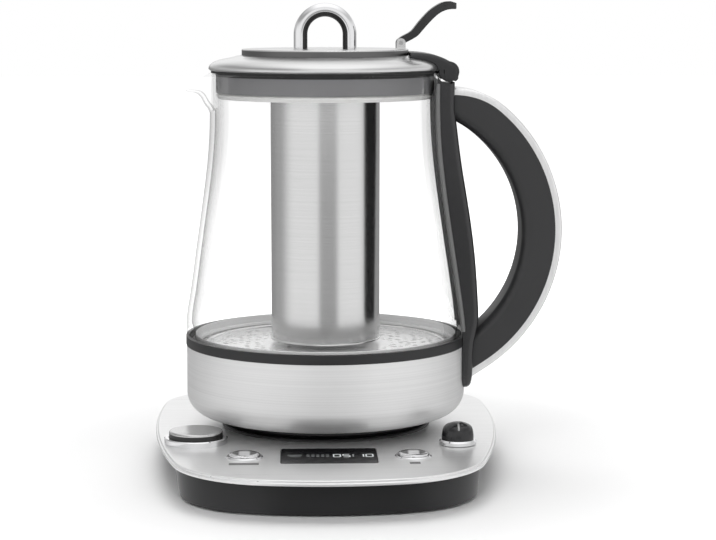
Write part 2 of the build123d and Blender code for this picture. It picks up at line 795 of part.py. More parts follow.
# ---- selector: bright skirt on a shaft, with a dark domed cap
knob_axis = Axis((knob_x, knob_y, 0), (0, 0, 1))
knob_plane = Plane((knob_x, knob_y, 0), x_dir=(1, 0, 0), z_dir=(0, -1, 0))
skirt_bottom = plate_top + clearance
skirt_top = skirt_bottom + knob_skirt_height
with BuildPart() as selector_skirt:
    with BuildSketch(knob_plane):
        Polygon((0, switch_top + seat_gap), (shaft_radius, switch_top + seat_gap), (shaft_radius, skirt_bottom),
                (knob_radius, skirt_bottom), (knob_radius, skirt_top - knob_skirt_chamfer),
                (knob_radius - knob_skirt_chamfer, skirt_top), (0, skirt_top), align=None)
    revolve(axis=knob_axis)
selector_skirt.part.label = "selector_skirt"
export_step(selector_skirt.part, "parts/selector_skirt.step")

cap_points = [(out * knob_cap_radius, skirt_top + up * knob_cap_height) for out, up in cap_profile]
with BuildPart() as selector_cap:
    with BuildSketch(knob_plane):
        with BuildLine():
            Spline(*cap_points, tangents=[(0, 1), (-1, 0)])
            Polyline(cap_points[-1], (0, skirt_top), cap_points[0])
        make_face()
    revolve(axis=knob_axis)
selector_cap.part.label = "selector_cap"
export_step(selector_cap.part, "parts/selector_cap.step")

# ================================================================ jug: heated cup
cup_centre = (jug_radius - cup_corner_radius, cup_bottom + cup_corner_radius)
with BuildPart() as cup_shell:
    with BuildSketch(Plane.XZ):
        with BuildLine():
            Line((cover_radius + seat_gap, cup_bottom), (cup_centre[0], cup_bottom))
            CenterArc(cup_centre, cup_corner_radius, -90, 90)
            Polyline((jug_radius, cup_centre[1]), (jug_radius, cup_top), (jug_radius - cup_wall, cup_top),
                     (jug_radius - cup_wall, cup_centre[1]))
            CenterArc(cup_centre, cup_corner_radius - cup_wall, 0, -90)
            Polyline((cup_centre[0], cup_bottom + cup_wall), (cover_radius + seat_gap, cup_bottom + cup_wall),
                     (cover_radius + seat_gap, cup_bottom))
        make_face()
    revolve(axis=Axis.Z)
cup_shell.part.label = "cup_shell"
export_step(cup_shell.part, "parts/cup_shell.step")

# ---- black cover under the cup, with the round recess that drops over the base's plug
recess_radius = plug_radius + clearance * 4
socket_z = plug_top + clearance * 3
with BuildPart() as underside_cover:
    with BuildSketch(Plane.XZ):
        Polygon((recess_radius, seat_top), (cover_radius - cover_wall, seat_top),
                (cover_radius, seat_top + cover_wall), (cover_radius, cup_bottom + cover_wall),
                (cover_radius - cover_wall, cup_bottom + cover_wall),
                (cover_radius - cover_wall, seat_top + cover_wall), (recess_radius + cover_wall, seat_top + cover_wall),
                (recess_radius + cover_wall, socket_z), (recess_radius, socket_z), align=None)
    revolve(axis=Axis.Z)
    with PolarLocations(post_circle_radius, post_count):
        with Locations(Location((0, 0, seat_top), (180, 0, 0))):
            CounterSinkHole(screw_radius + seat_gap, screw_head_radius, depth=cover_wall)
underside_cover.part.label = "underside_cover"
export_step(underside_cover.part, "parts/underside_cover.step")

# ---- socket: two tongues that enter the plug's slots, carrying the contacts
tongue_bottom = plug_slot_floor + 1.0
outer_tongue = (plug_inner_wall_radius + contact_thickness + clearance * 2,
                plug_outer_bore - contact_thickness - clearance * 2)
inner_tongue = (pin_radius + clearance + contact_thickness, pin_sleeve_radius - clearance)
with BuildPart() as jug_socket:
    with BuildSketch(Plane.XY.offset(socket_z)):
        Circle(recess_radius + cover_wall)
    extrude(amount=cover_wall)
    with BuildSketch(Plane.XY.offset(socket_z)):
        Circle(outer_tongue[1])
        Circle(outer_tongue[0], mode=Mode.SUBTRACT)
        Circle(inner_tongue[1])
        Circle(inner_tongue[0], mode=Mode.SUBTRACT)
    extrude(amount=tongue_bottom - socket_z)
jug_socket.part.label = "jug_socket"
export_step(jug_socket.part, "parts/jug_socket.step")

with BuildPart() as socket_contacts:
    with BuildSketch(Plane.XY.offset(tongue_bottom)):
        Circle(outer_tongue[1] + clearance)
        Circle(outer_tongue[1], mode=Mode.SUBTRACT)
        Circle(outer_tongue[0])
        Circle(outer_tongue[0] - clearance, mode=Mode.SUBTRACT)
        Circle(inner_tongue[0])
        Circle(inner_tongue[0] - contact_thickness, mode=Mode.SUBTRACT)
    extrude(amount=contact_height)
socket_contacts.part.label = "socket_contacts"
export_step(socket_contacts.part, "parts/socket_contacts.step")

# ---- steel floor with a pressed bead, and what heats and senses it from below
floor_bottom = floor_top - floor_thickness
with BuildPart() as floor_plate:
    with BuildSketch(Plane.XY.offset(floor_bottom)):
        Circle(floor_radius)
    extrude(amount=floor_thickness)
    with BuildSketch(Plane.XZ):
        with Locations((bead_circle_radius, floor_top)):
            Circle(bead_radius)
    revolve(axis=Axis.Z)
    with BuildSketch(Plane.XY.offset(floor_bottom - bead_radius)):
        Circle(floor_radius)
    extrude(amount=bead_radius, mode=Mode.SUBTRACT)
floor_plate.part.label = "floor_plate"
export_step(floor_plate.part, "parts/floor_plate.step")

with BuildPart() as heat_spreader:
    with BuildSketch(Plane.XY.offset(floor_bottom - spreader_thickness)):
        Circle(spreader_radius)
    extrude(amount=spreader_thickness)
    chamfer(heat_spreader.edges().group_by(Axis.Z)[0], spreader_thickness / 2)
heat_spreader.part.label = "heat_spreader"
export_step(heat_spreader.part, "parts/heat_spreader.step")

spreader_bottom = floor_bottom - spreader_thickness
with BuildPart() as heating_element:
    with BuildSketch(Plane.XZ):
        with Locations((element_radius, spreader_bottom - element_tube_radius)):
            Circle(element_tube_radius)
    revolve(axis=Axis.Z, revolution_arc=element_turn)
heating_element.part.label = "heating_element"
export_step(heating_element.part, "parts/heating_element.step")

with BuildPart() as heat_sensor:
    with BuildSketch(Plane.XY.offset(spreader_bottom - sensor_height)):
        Circle(sensor_radius)
    extrude(amount=sensor_height)
    with BuildSketch(Plane.XY.offset(spreader_bottom - sensor_height)):
        with GridLocations(sensor_radius, 0, 2, 1):
            Rectangle(sensor_tab_depth, sensor_tab_width)
    extrude(amount=-sensor_height / 2)
heat_sensor.part.label = "heat_sensor"
export_step(heat_sensor.part, "parts/heat_sensor.step")

with BuildPart() as cover_posts:
    with BuildSketch(Plane.XY.offset(seat_top + cover_wall)):
        with PolarLocations(post_circle_radius, post_count):
            Circle(boss_radius)
            Circle(screw_radius, mode=Mode.SUBTRACT)
    extrude(amount=spreader_bottom - seat_top - cover_wall)
cover_posts.part.label = "cover_posts"
export_step(cover_posts.part, "parts/cover_posts.step")

with BuildPart() as underside_screws:
    with BuildSketch(Plane.XY.offset(seat_top)):
        with PolarLocations(post_circle_radius, post_count):
            Circle(screw_radius - running_fit)
    extrude(amount=screw_length)
underside_screws.part.label = "underside_screws"
export_step(underside_screws.part, "parts/underside_screws.step")

# ---- black ring between cup and glass, with a shelf under the floor
shelf_top = floor_bottom - seat_gap
with BuildPart() as jug_ring:
    with BuildSketch(Plane.XZ) as ring_profile:
        Polygon((ring_inner - shelf_width, shelf_top - shelf_thickness),
                (jug_radius - cup_wall - seat_gap, shelf_top - shelf_thickness),
                (jug_radius - cup_wall - seat_gap, cup_top), (ring_radius, cup_top), (ring_radius, ring_top),
                (ring_inner, ring_top), (ring_inner, shelf_top), (ring_inner - shelf_width, shelf_top), align=None)
        fillet(ring_profile.vertices().group_by(Axis.X)[-1], ring_proud)
    revolve(axis=Axis.Z)
jug_ring.part.label = "jug_ring"
export_step(jug_ring.part, "parts/jug_ring.step")

with BuildPart() as floor_gasket:
    with BuildSketch(Plane.XY.offset(floor_top)):
        Circle(floor_radius)
        Circle(floor_radius - gasket_width, mode=Mode.SUBTRACT)
    extrude(amount=gasket_height)
floor_gasket.part.label = "floor_gasket"
export_step(floor_gasket.part, "parts/floor_gasket.step")

# ================================================================ jug: glass
foot_z = floor_top + gasket_height
shoulder = ring_top + seat_gap * 2


def glass_side(offset):
    """Spline up the glass from above its shoulder to its rim, moved out by an offset."""
    return Spline(*glass_points(offset), (mouth_radius + offset, glass_rim - glass_wall / 2),
                  tangents=[(0, 1), (0, 1)])


def spout_solid(inset=0.0):
    """Pouring spout as a solid: a flared underside, cut to a rounded V in plan."""
    root_x = spout_root_sink - neck_radius
    reach = mouth_radius + spout_length - neck_radius
    flare_points = [(inset - neck_radius - share * reach, glass_rim - drop + inset / 2)
                    for drop, share in spout_flare]
    half = spout_half_width - inset
    nose = spout_nose_radius - inset
    centre_x = spout_nose_radius - mouth_radius - spout_length
    side_x, side_y = centre_x - nose * sin(spout_plan_angle), nose * cos(spout_plan_angle)
    with BuildPart(mode=Mode.PRIVATE) as spout:
        with BuildSketch(Plane.XZ.offset(2 * spout_half_width)):
            with BuildLine():
                flare = Spline(flare_points, tangents=[(-0.15, 1), (-1, 0.35)])
                Polyline(flare @ 1, (-mouth_radius - spout_length, glass_rim + spout_depth),
                         (root_x, glass_rim + spout_depth), (root_x, flare_points[0][1]), flare @ 0)
            make_face()
        extrude(amount=-4 * spout_half_width)
        with BuildSketch(Plane.XY.offset(glass_rim - 2 * spout_depth)):
            with BuildLine():
                ThreePointArc((side_x, -side_y), (centre_x - nose, 0), (side_x, side_y))
                Spline((side_x, side_y), (root_x, half), tangents=[(0.94, 0.35), (0.8, 0.6)])
                Line((root_x, half), (root_x, -half))
                Spline((root_x, -half), (side_x, -side_y), tangents=[(-0.8, 0.6), (-0.94, 0.35)])
            make_face()
        extrude(amount=4 * spout_depth, mode=Mode.INTERSECT)
        if inset == 0.0:
            under = spout.edges().group_by(Axis.Z)[1:-1]
            keel = [edge for group in under for edge in group
                    if edge.geom_type == GeomType.BSPLINE and abs(edge.center().Y) > side_y]
            fillet(keel, spout_edge_radius)
    return spout.part


spout_outside = spout_solid()
spout_inside = spout_solid(spout_wall)
with BuildPart() as glass_body:
    with BuildSketch(Plane.XZ):
        with BuildLine():
            outside = glass_side(0)
            Polyline((0, foot_z), (floor_radius, foot_z), (floor_radius, shoulder),
                     (jug_radius, shoulder + glass_wall / 2), outside @ 0)
            ThreePointArc(outside @ 1, (mouth_radius - glass_wall / 2, glass_rim),
                          (mouth_radius - glass_wall, glass_rim - glass_wall / 2))
            Polyline((mouth_radius - glass_wall, glass_rim - glass_wall / 2),
                     (0, glass_rim - glass_wall / 2), (0, foot_z))
        make_face()
    revolve(axis=Axis.Z)
glass_solid = glass_body.part

with BuildPart() as glass_core:
    with BuildSketch(Plane.XZ):
        with BuildLine():
            inside = glass_side(-glass_wall)
            Polyline((0, foot_z - 1), (floor_radius - glass_wall, foot_z - 1),
                     (floor_radius - glass_wall, shoulder), inside @ 0)
            Polyline(inside @ 1, (mouth_radius - glass_wall, glass_rim + 1), (0, glass_rim + 1),
                     (0, foot_z - 1))
        make_face()
    revolve(axis=Axis.Z)
core_solid = glass_core.part

# the lip: everything above a plane that slopes from the rim down to the spout's tip
with BuildPart() as lip_cutter:
    with BuildSketch(Plane.XZ.offset(mouth_radius)):
        Polygon((-mouth_radius, glass_rim), (-mouth_radius - 4 * spout_length, glass_rim - 4 * spout_drop),
                (-mouth_radius - 4 * spout_length, glass_rim + spout_depth),
                (-mouth_radius, glass_rim + spout_depth), align=None)
    extrude(amount=-2 * mouth_radius)
with BuildPart() as roof_cutter:
    with BuildSketch(Plane.XY.offset(glass_rim)):
        Circle(2 * mouth_radius)
    extrude(amount=spout_depth * 2)

with BuildPart() as glass_jug:
    add(glass_solid)
    add(spout_outside)
    add(core_solid, mode=Mode.SUBTRACT)
    add(spout_inside, mode=Mode.SUBTRACT)
    add(lip_cutter.part, mode=Mode.SUBTRACT)
    add(roof_cutter.part, mode=Mode.SUBTRACT)
glass_jug.part.label = "glass_jug"
export_step(glass_jug.part, "parts/glass_jug.step")

# ================================================================ jug: rail and handle
hood_sweep = hood_reach + cradle_gap
rail_top = glass_rim - rail_top_drop
rail_tip_z = cup_top - rail_tip_depth
jug_hull = jug_envelope(seat_gap * 2)

with BuildPart() as rail_blank:
    with BuildSketch(Plane.XZ.offset(rail_half_width)):
        with BuildLine():
            stand = Spline(rail_points(), tangents=[(0.1, 1), (0, 1)])
            tip = Spline((jug_radius + rail_tip_stand, rail_tip_z), stand @ 0, tangents=[(0.25, 1), (0.1, 1)])
            Polyline(stand @ 1, (neck_radius / 2, glass_rim), (neck_radius / 2, rail_tip_z), tip @ 0)
        make_face()
    extrude(amount=-2 * rail_half_width)
blank_solid = rail_blank.part

with BuildPart() as handle_rail:
    add(blank_solid)
    fillet(handle_rail.edges().filter_by(Axis.X).group_by(Axis.Z)[0], rail_corner_radius)
    fillet(handle_rail.edges().filter_by(GeomType.BSPLINE), rail_edge_radius)
    add(jug_hull, mode=Mode.SUBTRACT)
    with BuildSketch(Plane.XZ):
        with Locations((hinge_x, hinge_z)):
            Circle(hood_sweep)
        with Locations((hinge_x, rail_top + hood_sweep)):
            Rectangle(4 * hood_sweep, 2 * hood_sweep)
    extrude(amount=2 * rail_half_width, both=True, mode=Mode.SUBTRACT)
handle_rail.part.label = "handle_rail"
export_step(handle_rail.part, "parts/handle_rail.step")


# ---- D-shaped handle: dark grip with a steel strip along its outer edge
def handle_outline(inset=0.0):
    """Everything inside the handle's outer edge, drawn in by an inset."""
    radius = handle_radius - inset
    upper_x, upper_z = neck_radius + rail_top_stand - handle_root_sink, glass_rim - handle_root_drop
    lower_x, lower_z = jug_radius + rail_tip_stand, rail_tip_z + handle_foot_rise
    upper = atan2(upper_z - handle_z, upper_x - handle_x) - radians(handle_upper_lead)
    root = atan2(lower_z - handle_z, lower_x - handle_x)
    lower = root + radians(handle_lower_lead)
    foot = pi / 2 + root + radians(handle_foot_turn)
    top = (handle_x + radius * cos(upper), handle_z + radius * sin(upper))
    bottom = (handle_x + radius * cos(lower), handle_z + radius * sin(lower))
    root_top = (upper_x, upper_z - inset)
    root_bottom = (lower_x - inset * sin(foot), lower_z + inset * cos(foot))
    with BuildSketch(Plane.XZ, mode=Mode.PRIVATE) as outline:
        with BuildLine():
            Spline(root_top, top, tangents=[(1, 0), (sin(upper), -cos(upper))])
            ThreePointArc(top, (handle_x + radius, handle_z), bottom)
            Spline(bottom, root_bottom, tangents=[(sin(lower), -cos(lower)), (-cos(foot), -sin(foot))])
            Polyline(root_bottom, (neck_radius, root_bottom[1]), (neck_radius, root_top[1]), root_top)
        make_face()
    return outline.sketch


handle_side = Plane.XZ.offset(handle_half_width)
with BuildPart() as grip_body:
    with BuildSketch(handle_side):
        add(handle_outline(trim_thickness))
    extrude(amount=-2 * handle_half_width)
grip_solid = grip_body.part

with BuildPart() as handle_grip:
    add(grip_solid)
    with BuildSketch(Plane.XZ):
        with Locations((handle_x - handle_inner_shift, handle_z - handle_inner_drop)):
            Circle(handle_radius - handle_depth)
    extrude(amount=handle_half_width, both=True, mode=Mode.SUBTRACT)
    fillet(handle_grip.edges().filter_by(GeomType.CIRCLE).group_by(SortBy.RADIUS)[0], grip_edge_radius)
    add(blank_solid, mode=Mode.SUBTRACT)
handle_grip.part.label = "handle_grip"
export_step(handle_grip.part, "parts/handle_grip.step")

with BuildPart() as handle_trim:
    with BuildSketch(handle_side):
        add(handle_outline())
    extrude(amount=-2 * handle_half_width)
    flanks = handle_trim.faces().filter_by(Axis.Y).edges()
    fillet(flanks.filter_by(GeomType.LINE, reverse=True), trim_edge_radius)
    add(grip_solid, mode=Mode.SUBTRACT)
    add(blank_solid, mode=Mode.SUBTRACT)
handle_trim.part.label = "handle_trim"
export_step(handle_trim.part, "parts/handle_trim.step")

# ================================================================ collar and infuser
web_bore = infuser_radius + clearance
with BuildPart() as mouth_collar:
    with BuildSketch(Plane.XZ):
        Polygon((web_bore, web_bottom), (collar_inner, web_bottom), (collar_inner, collar_bottom),
                (collar_radius, collar_bottom), (collar_radius, flange_bottom),
                (mouth_radius - collar_rim_inset, flange_bottom), (mouth_radius - collar_rim_inset, flange_top),
                (collar_inner, flange_top), (collar_inner, web_top), (web_bore, web_top), align=None)
    revolve(axis=Axis.Z)
    # pouring slots behind the spout
    with BuildSketch(Plane.YZ.offset(-collar_radius - collar_gap)):
        with Locations((0, (web_bottom + collar_bottom) / 2)):
            with GridLocations(slot_pitch, 0, slot_count, 1):
                SlotCenterToCenter(slot_length, slot_width, rotation=90)
    extrude(amount=collar_radius / 2, mode=Mode.SUBTRACT)
    # arm over the glass rim to the hinge knuckle
    with BuildSketch(Plane.XZ):
        with Locations((hinge_x, hinge_z)):
            Circle(knuckle_radius)
        with BuildLine():
            Polyline((collar_inner, flange_bottom), (hinge_x, flange_bottom), (hinge_x, hinge_z + arm_rise),
                     (collar_inner, hinge_z + arm_rise), close=True)
        make_face()
    extrude(amount=knuckle_half_width, both=True)
    with BuildSketch(Plane.XZ):
        with Locations((hinge_x, hinge_z)):
            Circle(hinge_pin_radius + running_fit)
    extrude(amount=knuckle_half_width * 2, both=True, mode=Mode.SUBTRACT)
mouth_collar.part.label = "mouth_collar"
export_step(mouth_collar.part, "parts/mouth_collar.step")

with BuildPart() as collar_seal:
    with BuildSketch(Plane.XZ):
        Polygon((collar_inner, collar_bottom), (collar_inner, collar_bottom - seal_height),
                (collar_radius - seal_inset, collar_bottom - seal_height),
                (collar_radius - seat_gap, collar_bottom - seal_lip_drop),
                (collar_radius - seal_inset, collar_bottom), align=None)
    revolve(axis=Axis.Z)
collar_seal.part.label = "collar_seal"
export_step(collar_seal.part, "parts/collar_seal.step")

infuser_bottom = floor_top + infuser_clearance
infuser_bore = infuser_radius - infuser_wall
with BuildPart() as infuser_tube:
    with BuildSketch(Plane.XZ):
        Polygon((infuser_bore, infuser_bottom), (infuser_radius, infuser_bottom), (infuser_radius, web_top),
                (infuser_radius + infuser_flange, web_top), (infuser_radius + infuser_flange, web_top + infuser_wall),
                (infuser_bore, web_top + infuser_wall), align=None)
    revolve(axis=Axis.Z)
infuser_tube.part.label = "infuser_tube"
export_step(infuser_tube.part, "parts/infuser_tube.step")

with BuildPart() as infuser_filter:
    with BuildSketch(Plane.XY.offset(infuser_bottom)):
        Circle(infuser_bore - seat_gap / 2)
        for ring in range(1, filter_rings + 1):
            with PolarLocations(ring * filter_ring_step, ring * filter_ring_count):
                Circle(filter_hole_radius, mode=Mode.SUBTRACT)
    extrude(amount=infuser_wall)
infuser_filter.part.label = "infuser_filter"
export_step(infuser_filter.part, "parts/infuser_filter.step")

# ================================================================ lid
notch_half_width = hood_half_width - hood_wall
notch_top = hinge_z + knuckle_radius + cradle_gap
notch_start = collar_inner - clearance
lid_solid = lid_outside()
lid_hollow = lid_outside(-lid_wall)
with BuildPart() as lid_cap:
    add(lid_solid)
    add(lid_hollow, mode=Mode.SUBTRACT)
    with BuildSketch(Plane.XY.offset(lid_bottom)):
        Circle(lid_edge_radius - liner_margin)
    extrude(amount=lid_wall, mode=Mode.SUBTRACT)
    with BuildSketch(Plane.XY.offset(dome_top - lid_wall)):
        with GridLocations(2 * ring_half_width, 0, 2, 1):
            Circle(stud_radius + seat_gap)
    extrude(amount=lid_wall, mode=Mode.SUBTRACT)
    with BuildSketch(Plane.XZ):
        Polygon((notch_start, lid_bottom), (lid_radius + 1, lid_bottom), (lid_radius + 1, notch_top),
                (notch_start, notch_top), align=None)
    extrude(amount=notch_half_width, both=True, mode=Mode.SUBTRACT)
lid_cap.part.label = "lid_cap"
export_step(lid_cap.part, "parts/lid_cap.step")

with BuildPart() as lid_disc:
    with BuildSketch(Plane.XY.offset(dome_top)):
        Circle(platform_radius)
    extrude(amount=platform_height)
    fillet(lid_disc.edges().group_by(Axis.Z)[-1], disc_edge_radius)
    with BuildSketch(Plane.XY.offset(dome_top)):
        Circle(platform_radius - lid_wall)
    extrude(amount=platform_height - lid_wall, mode=Mode.SUBTRACT)
    with BuildSketch(Plane.XY.offset(dome_top)):
        with GridLocations(2 * ring_half_width, 0, 2, 1):
            Circle(stud_radius + seat_gap)
    extrude(amount=platform_height, mode=Mode.SUBTRACT)
lid_disc.part.label = "lid_disc"
export_step(lid_disc.part, "parts/lid_disc.step")

with BuildPart() as lid_liner:
    with BuildSketch(Plane.XY.offset(lid_bottom)):
        Circle(lid_edge_radius - liner_margin - seat_gap)
    extrude(amount=liner_thickness)
    with BuildSketch(Plane.XY.offset(lid_bottom + liner_thickness)):
        Circle(platform_radius - liner_thickness)
        Circle(platform_radius - 2 * liner_thickness, mode=Mode.SUBTRACT)
        with GridLocations(2 * ring_half_width, 0, 2, 1):
            Circle(boss_radius + liner_thickness)
            Circle(boss_radius, mode=Mode.SUBTRACT)
    extrude(amount=dome_top - lid_wall - seat_gap - lid_bottom - liner_thickness)
    with BuildSketch(Plane.XZ):
        Polygon((notch_start, lid_bottom), (lid_radius, lid_bottom), (lid_radius, notch_top),
                (notch_start, notch_top), align=None)
    extrude(amount=notch_half_width, both=True, mode=Mode.SUBTRACT)
lid_liner.part.label = "lid_liner"
export_step(lid_liner.part, "parts/lid_liner.step")

# ---- ring handle: a thick round bar bent to an arch, with studs through the lid
with BuildPart() as ring_handle:
    with BuildLine(Plane.XZ) as arch:
        Line((-ring_half_width, platform_top), (-ring_half_width, platform_top + ring_leg_height))
        crown = CenterArc((0, platform_top + ring_leg_height), ring_half_width, 180, -180)
        Line(crown @ 1, (ring_half_width, platform_top))
    with BuildSketch(Plane((-ring_half_width, 0, platform_top))):
        Circle(ring_tube_radius)
    sweep(path=arch.wires()[0])
    with BuildSketch(Plane.XY.offset(platform_top)):
        with GridLocations(2 * ring_half_width, 0, 2, 1):
            Circle(stud_radius)
    extrude(amount=-stud_length)
ring_handle.part.label = "ring_handle"
export_step(ring_handle.part, "parts/ring_handle.step")

with BuildPart() as ring_nuts:
    with BuildSketch(Plane.XY.offset(dome_top - lid_wall)):
        with GridLocations(2 * ring_half_width, 0, 2, 1):
            RegularPolygon(nut_radius, 6)
            Circle(stud_radius + running_fit, mode=Mode.SUBTRACT)
    extrude(amount=-nut_height)
ring_nuts.part.label = "ring_nuts"
export_step(ring_nuts.part, "parts/ring_nuts.step")

# ---- hood over the hinge, hollow round the collar's knuckle
hood_outer_x = hinge_x + hood_end
hood_inner = (hinge_x - hood_throat, hinge_z - hood_depth)
hood_corner = (hood_outer_x, hinge_z - sqrt(hood_reach**2 - hood_end**2))
keel = radians(hood_keel_turn)
hood_keel = (hinge_x + hood_reach * sin(keel), hinge_z - hood_reach * cos(keel))
knuckle_room = knuckle_radius + cradle_gap
lid_clear = lid_outside(seat_gap * 2)
hood_root_x = platform_radius + seat_gap * 2
hood_fall = dome_top + tongue_height - lid_rim
hood_back = [(hood_root_x + out * (hood_outer_x - hood_root_x), lid_rim + hood_fall * (1 - fall))
             for out, fall in hood_profile]
with BuildPart() as lid_hood:
    with BuildSketch(Plane.XZ.offset(hood_half_width)):
        with BuildLine():
            Spline(*hood_back, tangents=[(1, 0), (0, -1)])
            Line(hood_back[-1], hood_corner)
            RadiusArc(hood_corner, hood_keel, hood_reach)
            Polyline(hood_keel, hood_inner, (hood_inner[0], lid_rim), (hood_root_x, lid_rim), hood_back[0])
        make_face()
    extrude(amount=-2 * hood_half_width)
    fillet(lid_hood.edges().filter_by(GeomType.BSPLINE), hood_edge_radius)
    add(lid_clear, mode=Mode.SUBTRACT)
    with BuildSketch(Plane.XZ):
        with Locations((hinge_x, hinge_z)):
            Circle(knuckle_room)
        Polygon((notch_start, hinge_z - hood_reach), (hood_outer_x, hinge_z - hood_reach), hood_corner,
                (hinge_x + knuckle_room, hood_corner[1]), (hinge_x + knuckle_room, hinge_z),
                (hinge_x, hinge_z), (hinge_x, notch_top), (notch_start, notch_top), align=None)
    extrude(amount=notch_half_width, both=True, mode=Mode.SUBTRACT)
    with BuildSketch(Plane.XZ):
        with Locations((hinge_x, hinge_z)):
            Circle(hinge_pin_radius + running_fit / 2)
    extrude(amount=hood_half_width - lid_wall, both=True, mode=Mode.SUBTRACT)
lid_hood.part.label = "lid_hood"
export_step(lid_hood.part, "parts/lid_hood.step")

with BuildPart() as hinge_pin:
    with BuildSketch(Plane.XZ):
        with Locations((hinge_x, hinge_z)):
            Circle(hinge_pin_radius)
    extrude(amount=hood_half_width - lid_wall, both=True)
hinge_pin.part.label = "hinge_pin"
export_step(hinge_pin.part, "parts/hinge_pin.step")

# ================================================================ thumb lever
pivot = (lever_x, platform_top + lever_pin_height)
ear_inner = lever_neck_half_width + clearance
with BuildPart() as lever_bracket:
    with BuildSketch(Plane.XZ):
        with Locations(pivot):
            Circle(lever_hub_radius)
        Polygon((lever_x - lever_hub_radius, platform_top), (lever_x + lever_hub_radius, platform_top),
                (lever_x + lever_hub_radius, pivot[1]), (lever_x - lever_hub_radius, pivot[1]), align=None)
    extrude(amount=ear_inner + ear_thickness, both=True)
    with BuildSketch(Plane.XZ):
        Polygon((lever_x - 2 * lever_hub_radius, platform_top + bracket_base),
                (lever_x + 2 * lever_hub_radius, platform_top + bracket_base),
                (lever_x + 2 * lever_hub_radius, pivot[1] + 2 * lever_hub_radius),
                (lever_x - 2 * lever_hub_radius, pivot[1] + 2 * lever_hub_radius), align=None)
    extrude(amount=ear_inner, both=True, mode=Mode.SUBTRACT)
    with BuildSketch(Plane.XZ):
        with Locations(pivot):
            Circle(lever_pin_radius + running_fit / 2)
    extrude(amount=ear_inner + ear_thickness, both=True, mode=Mode.SUBTRACT)
lever_bracket.part.label = "lever_bracket"
export_step(lever_bracket.part, "parts/lever_bracket.step")

with BuildPart() as lever_pin:
    with BuildSketch(Plane.XZ):
        with Locations(pivot):
            Circle(lever_pin_radius)
    extrude(amount=ear_inner + ear_thickness, both=True)
lever_pin.part.label = "lever_pin"
export_step(lever_pin.part, "parts/lever_pin.step")

# the lever rises from its hub in an S and ends in a level thumb pad
tip_x = lever_x + lever_length
pad_top = lever_rise + lever_pad_thickness
pad_bottom = lever_rise - lever_pad_thickness
back_points = [(lever_x + along * lever_length, pivot[1] + up * pad_top) for along, up in lever_back]
belly_points = [(lever_x + along * lever_length, pivot[1] + up * pad_bottom) for along, up in lever_belly]
hub_back = (lever_x - lever_hub_radius, pivot[1])
hub_front = (lever_x + lever_hub_radius, pivot[1])
waist_x = lever_x + lever_length * lever_waist
shoulder_x = tip_x - lever_tip_half_width
tail_x = lever_x - 2 * lever_hub_radius
with BuildPart() as thumb_lever:
    with BuildSketch(Plane.XZ.offset(lever_tip_half_width)):
        with BuildLine():
            back = Spline(hub_back, *back_points, tangents=[(0.3, 1), (1, 0)])
            tip = Polyline(back @ 1, (tip_x, pivot[1] + pad_top - lever_tip_chamfer),
                           (tip_x, pivot[1] + pad_bottom + lever_tip_chamfer / 2),
                           (tip_x - lever_tip_chamfer / 2, pivot[1] + pad_bottom))
            Spline(tip @ 1, *belly_points, hub_front, tangents=[(-1, 0), (-1, -0.5)])
            Line(hub_front, hub_back)
        make_face()
        with Locations(pivot):
            Circle(lever_hub_radius)
    extrude(amount=-2 * lever_tip_half_width)
    with BuildSketch(Plane.XY.offset(platform_top)):
        with BuildLine():
            Polyline((shoulder_x, lever_tip_half_width), (waist_x, lever_neck_half_width),
                     (tail_x, lever_neck_half_width), (tail_x, -lever_neck_half_width),
                     (waist_x, -lever_neck_half_width), (shoulder_x, -lever_tip_half_width))
            ThreePointArc((shoulder_x, -lever_tip_half_width), (tip_x, 0), (shoulder_x, lever_tip_half_width))
        make_face()
    extrude(amount=2 * lever_length, mode=Mode.INTERSECT)
    with BuildSketch(Plane.XZ.offset(lever_tip_half_width)):
        with Locations(pivot):
            Circle(lever_pin_radius + running_fit)
    extrude(amount=-2 * lever_tip_half_width, mode=Mode.SUBTRACT)
thumb_lever.part.label = "thumb_lever"
export_step(thumb_lever.part, "parts/thumb_lever.step")
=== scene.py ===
"""Dresses the automatic tea maker: finishes on its solids, and the fine pieces that the solids leave out."""

from __future__ import annotations

import json
import logging
import math
from dataclasses import dataclass, field, replace
from enum import Enum
from typing import ClassVar, Iterable, Sequence

import bpy
from mathutils import Matrix, Vector

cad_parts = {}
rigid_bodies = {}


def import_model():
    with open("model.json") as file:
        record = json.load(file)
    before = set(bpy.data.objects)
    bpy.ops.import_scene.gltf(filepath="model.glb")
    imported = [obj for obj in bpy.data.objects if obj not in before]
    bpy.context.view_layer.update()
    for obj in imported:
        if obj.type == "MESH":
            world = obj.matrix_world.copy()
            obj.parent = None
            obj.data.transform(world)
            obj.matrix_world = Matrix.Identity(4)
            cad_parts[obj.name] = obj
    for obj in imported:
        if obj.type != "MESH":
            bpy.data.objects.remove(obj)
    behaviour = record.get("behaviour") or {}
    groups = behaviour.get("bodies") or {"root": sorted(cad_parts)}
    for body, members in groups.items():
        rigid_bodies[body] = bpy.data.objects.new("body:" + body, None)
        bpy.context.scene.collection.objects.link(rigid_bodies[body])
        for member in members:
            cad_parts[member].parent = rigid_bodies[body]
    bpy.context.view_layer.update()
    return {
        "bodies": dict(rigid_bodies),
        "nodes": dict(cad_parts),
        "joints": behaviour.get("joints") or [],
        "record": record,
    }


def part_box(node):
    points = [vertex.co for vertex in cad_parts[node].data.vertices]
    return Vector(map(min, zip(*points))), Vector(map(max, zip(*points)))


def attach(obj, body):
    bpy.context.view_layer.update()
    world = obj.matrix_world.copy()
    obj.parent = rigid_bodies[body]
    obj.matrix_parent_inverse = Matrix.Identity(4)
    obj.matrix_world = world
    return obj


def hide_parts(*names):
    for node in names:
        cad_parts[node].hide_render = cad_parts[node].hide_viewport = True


LOG = logging.getLogger("tea_maker")
MM = 0.001
Colour = tuple[float, float, float]
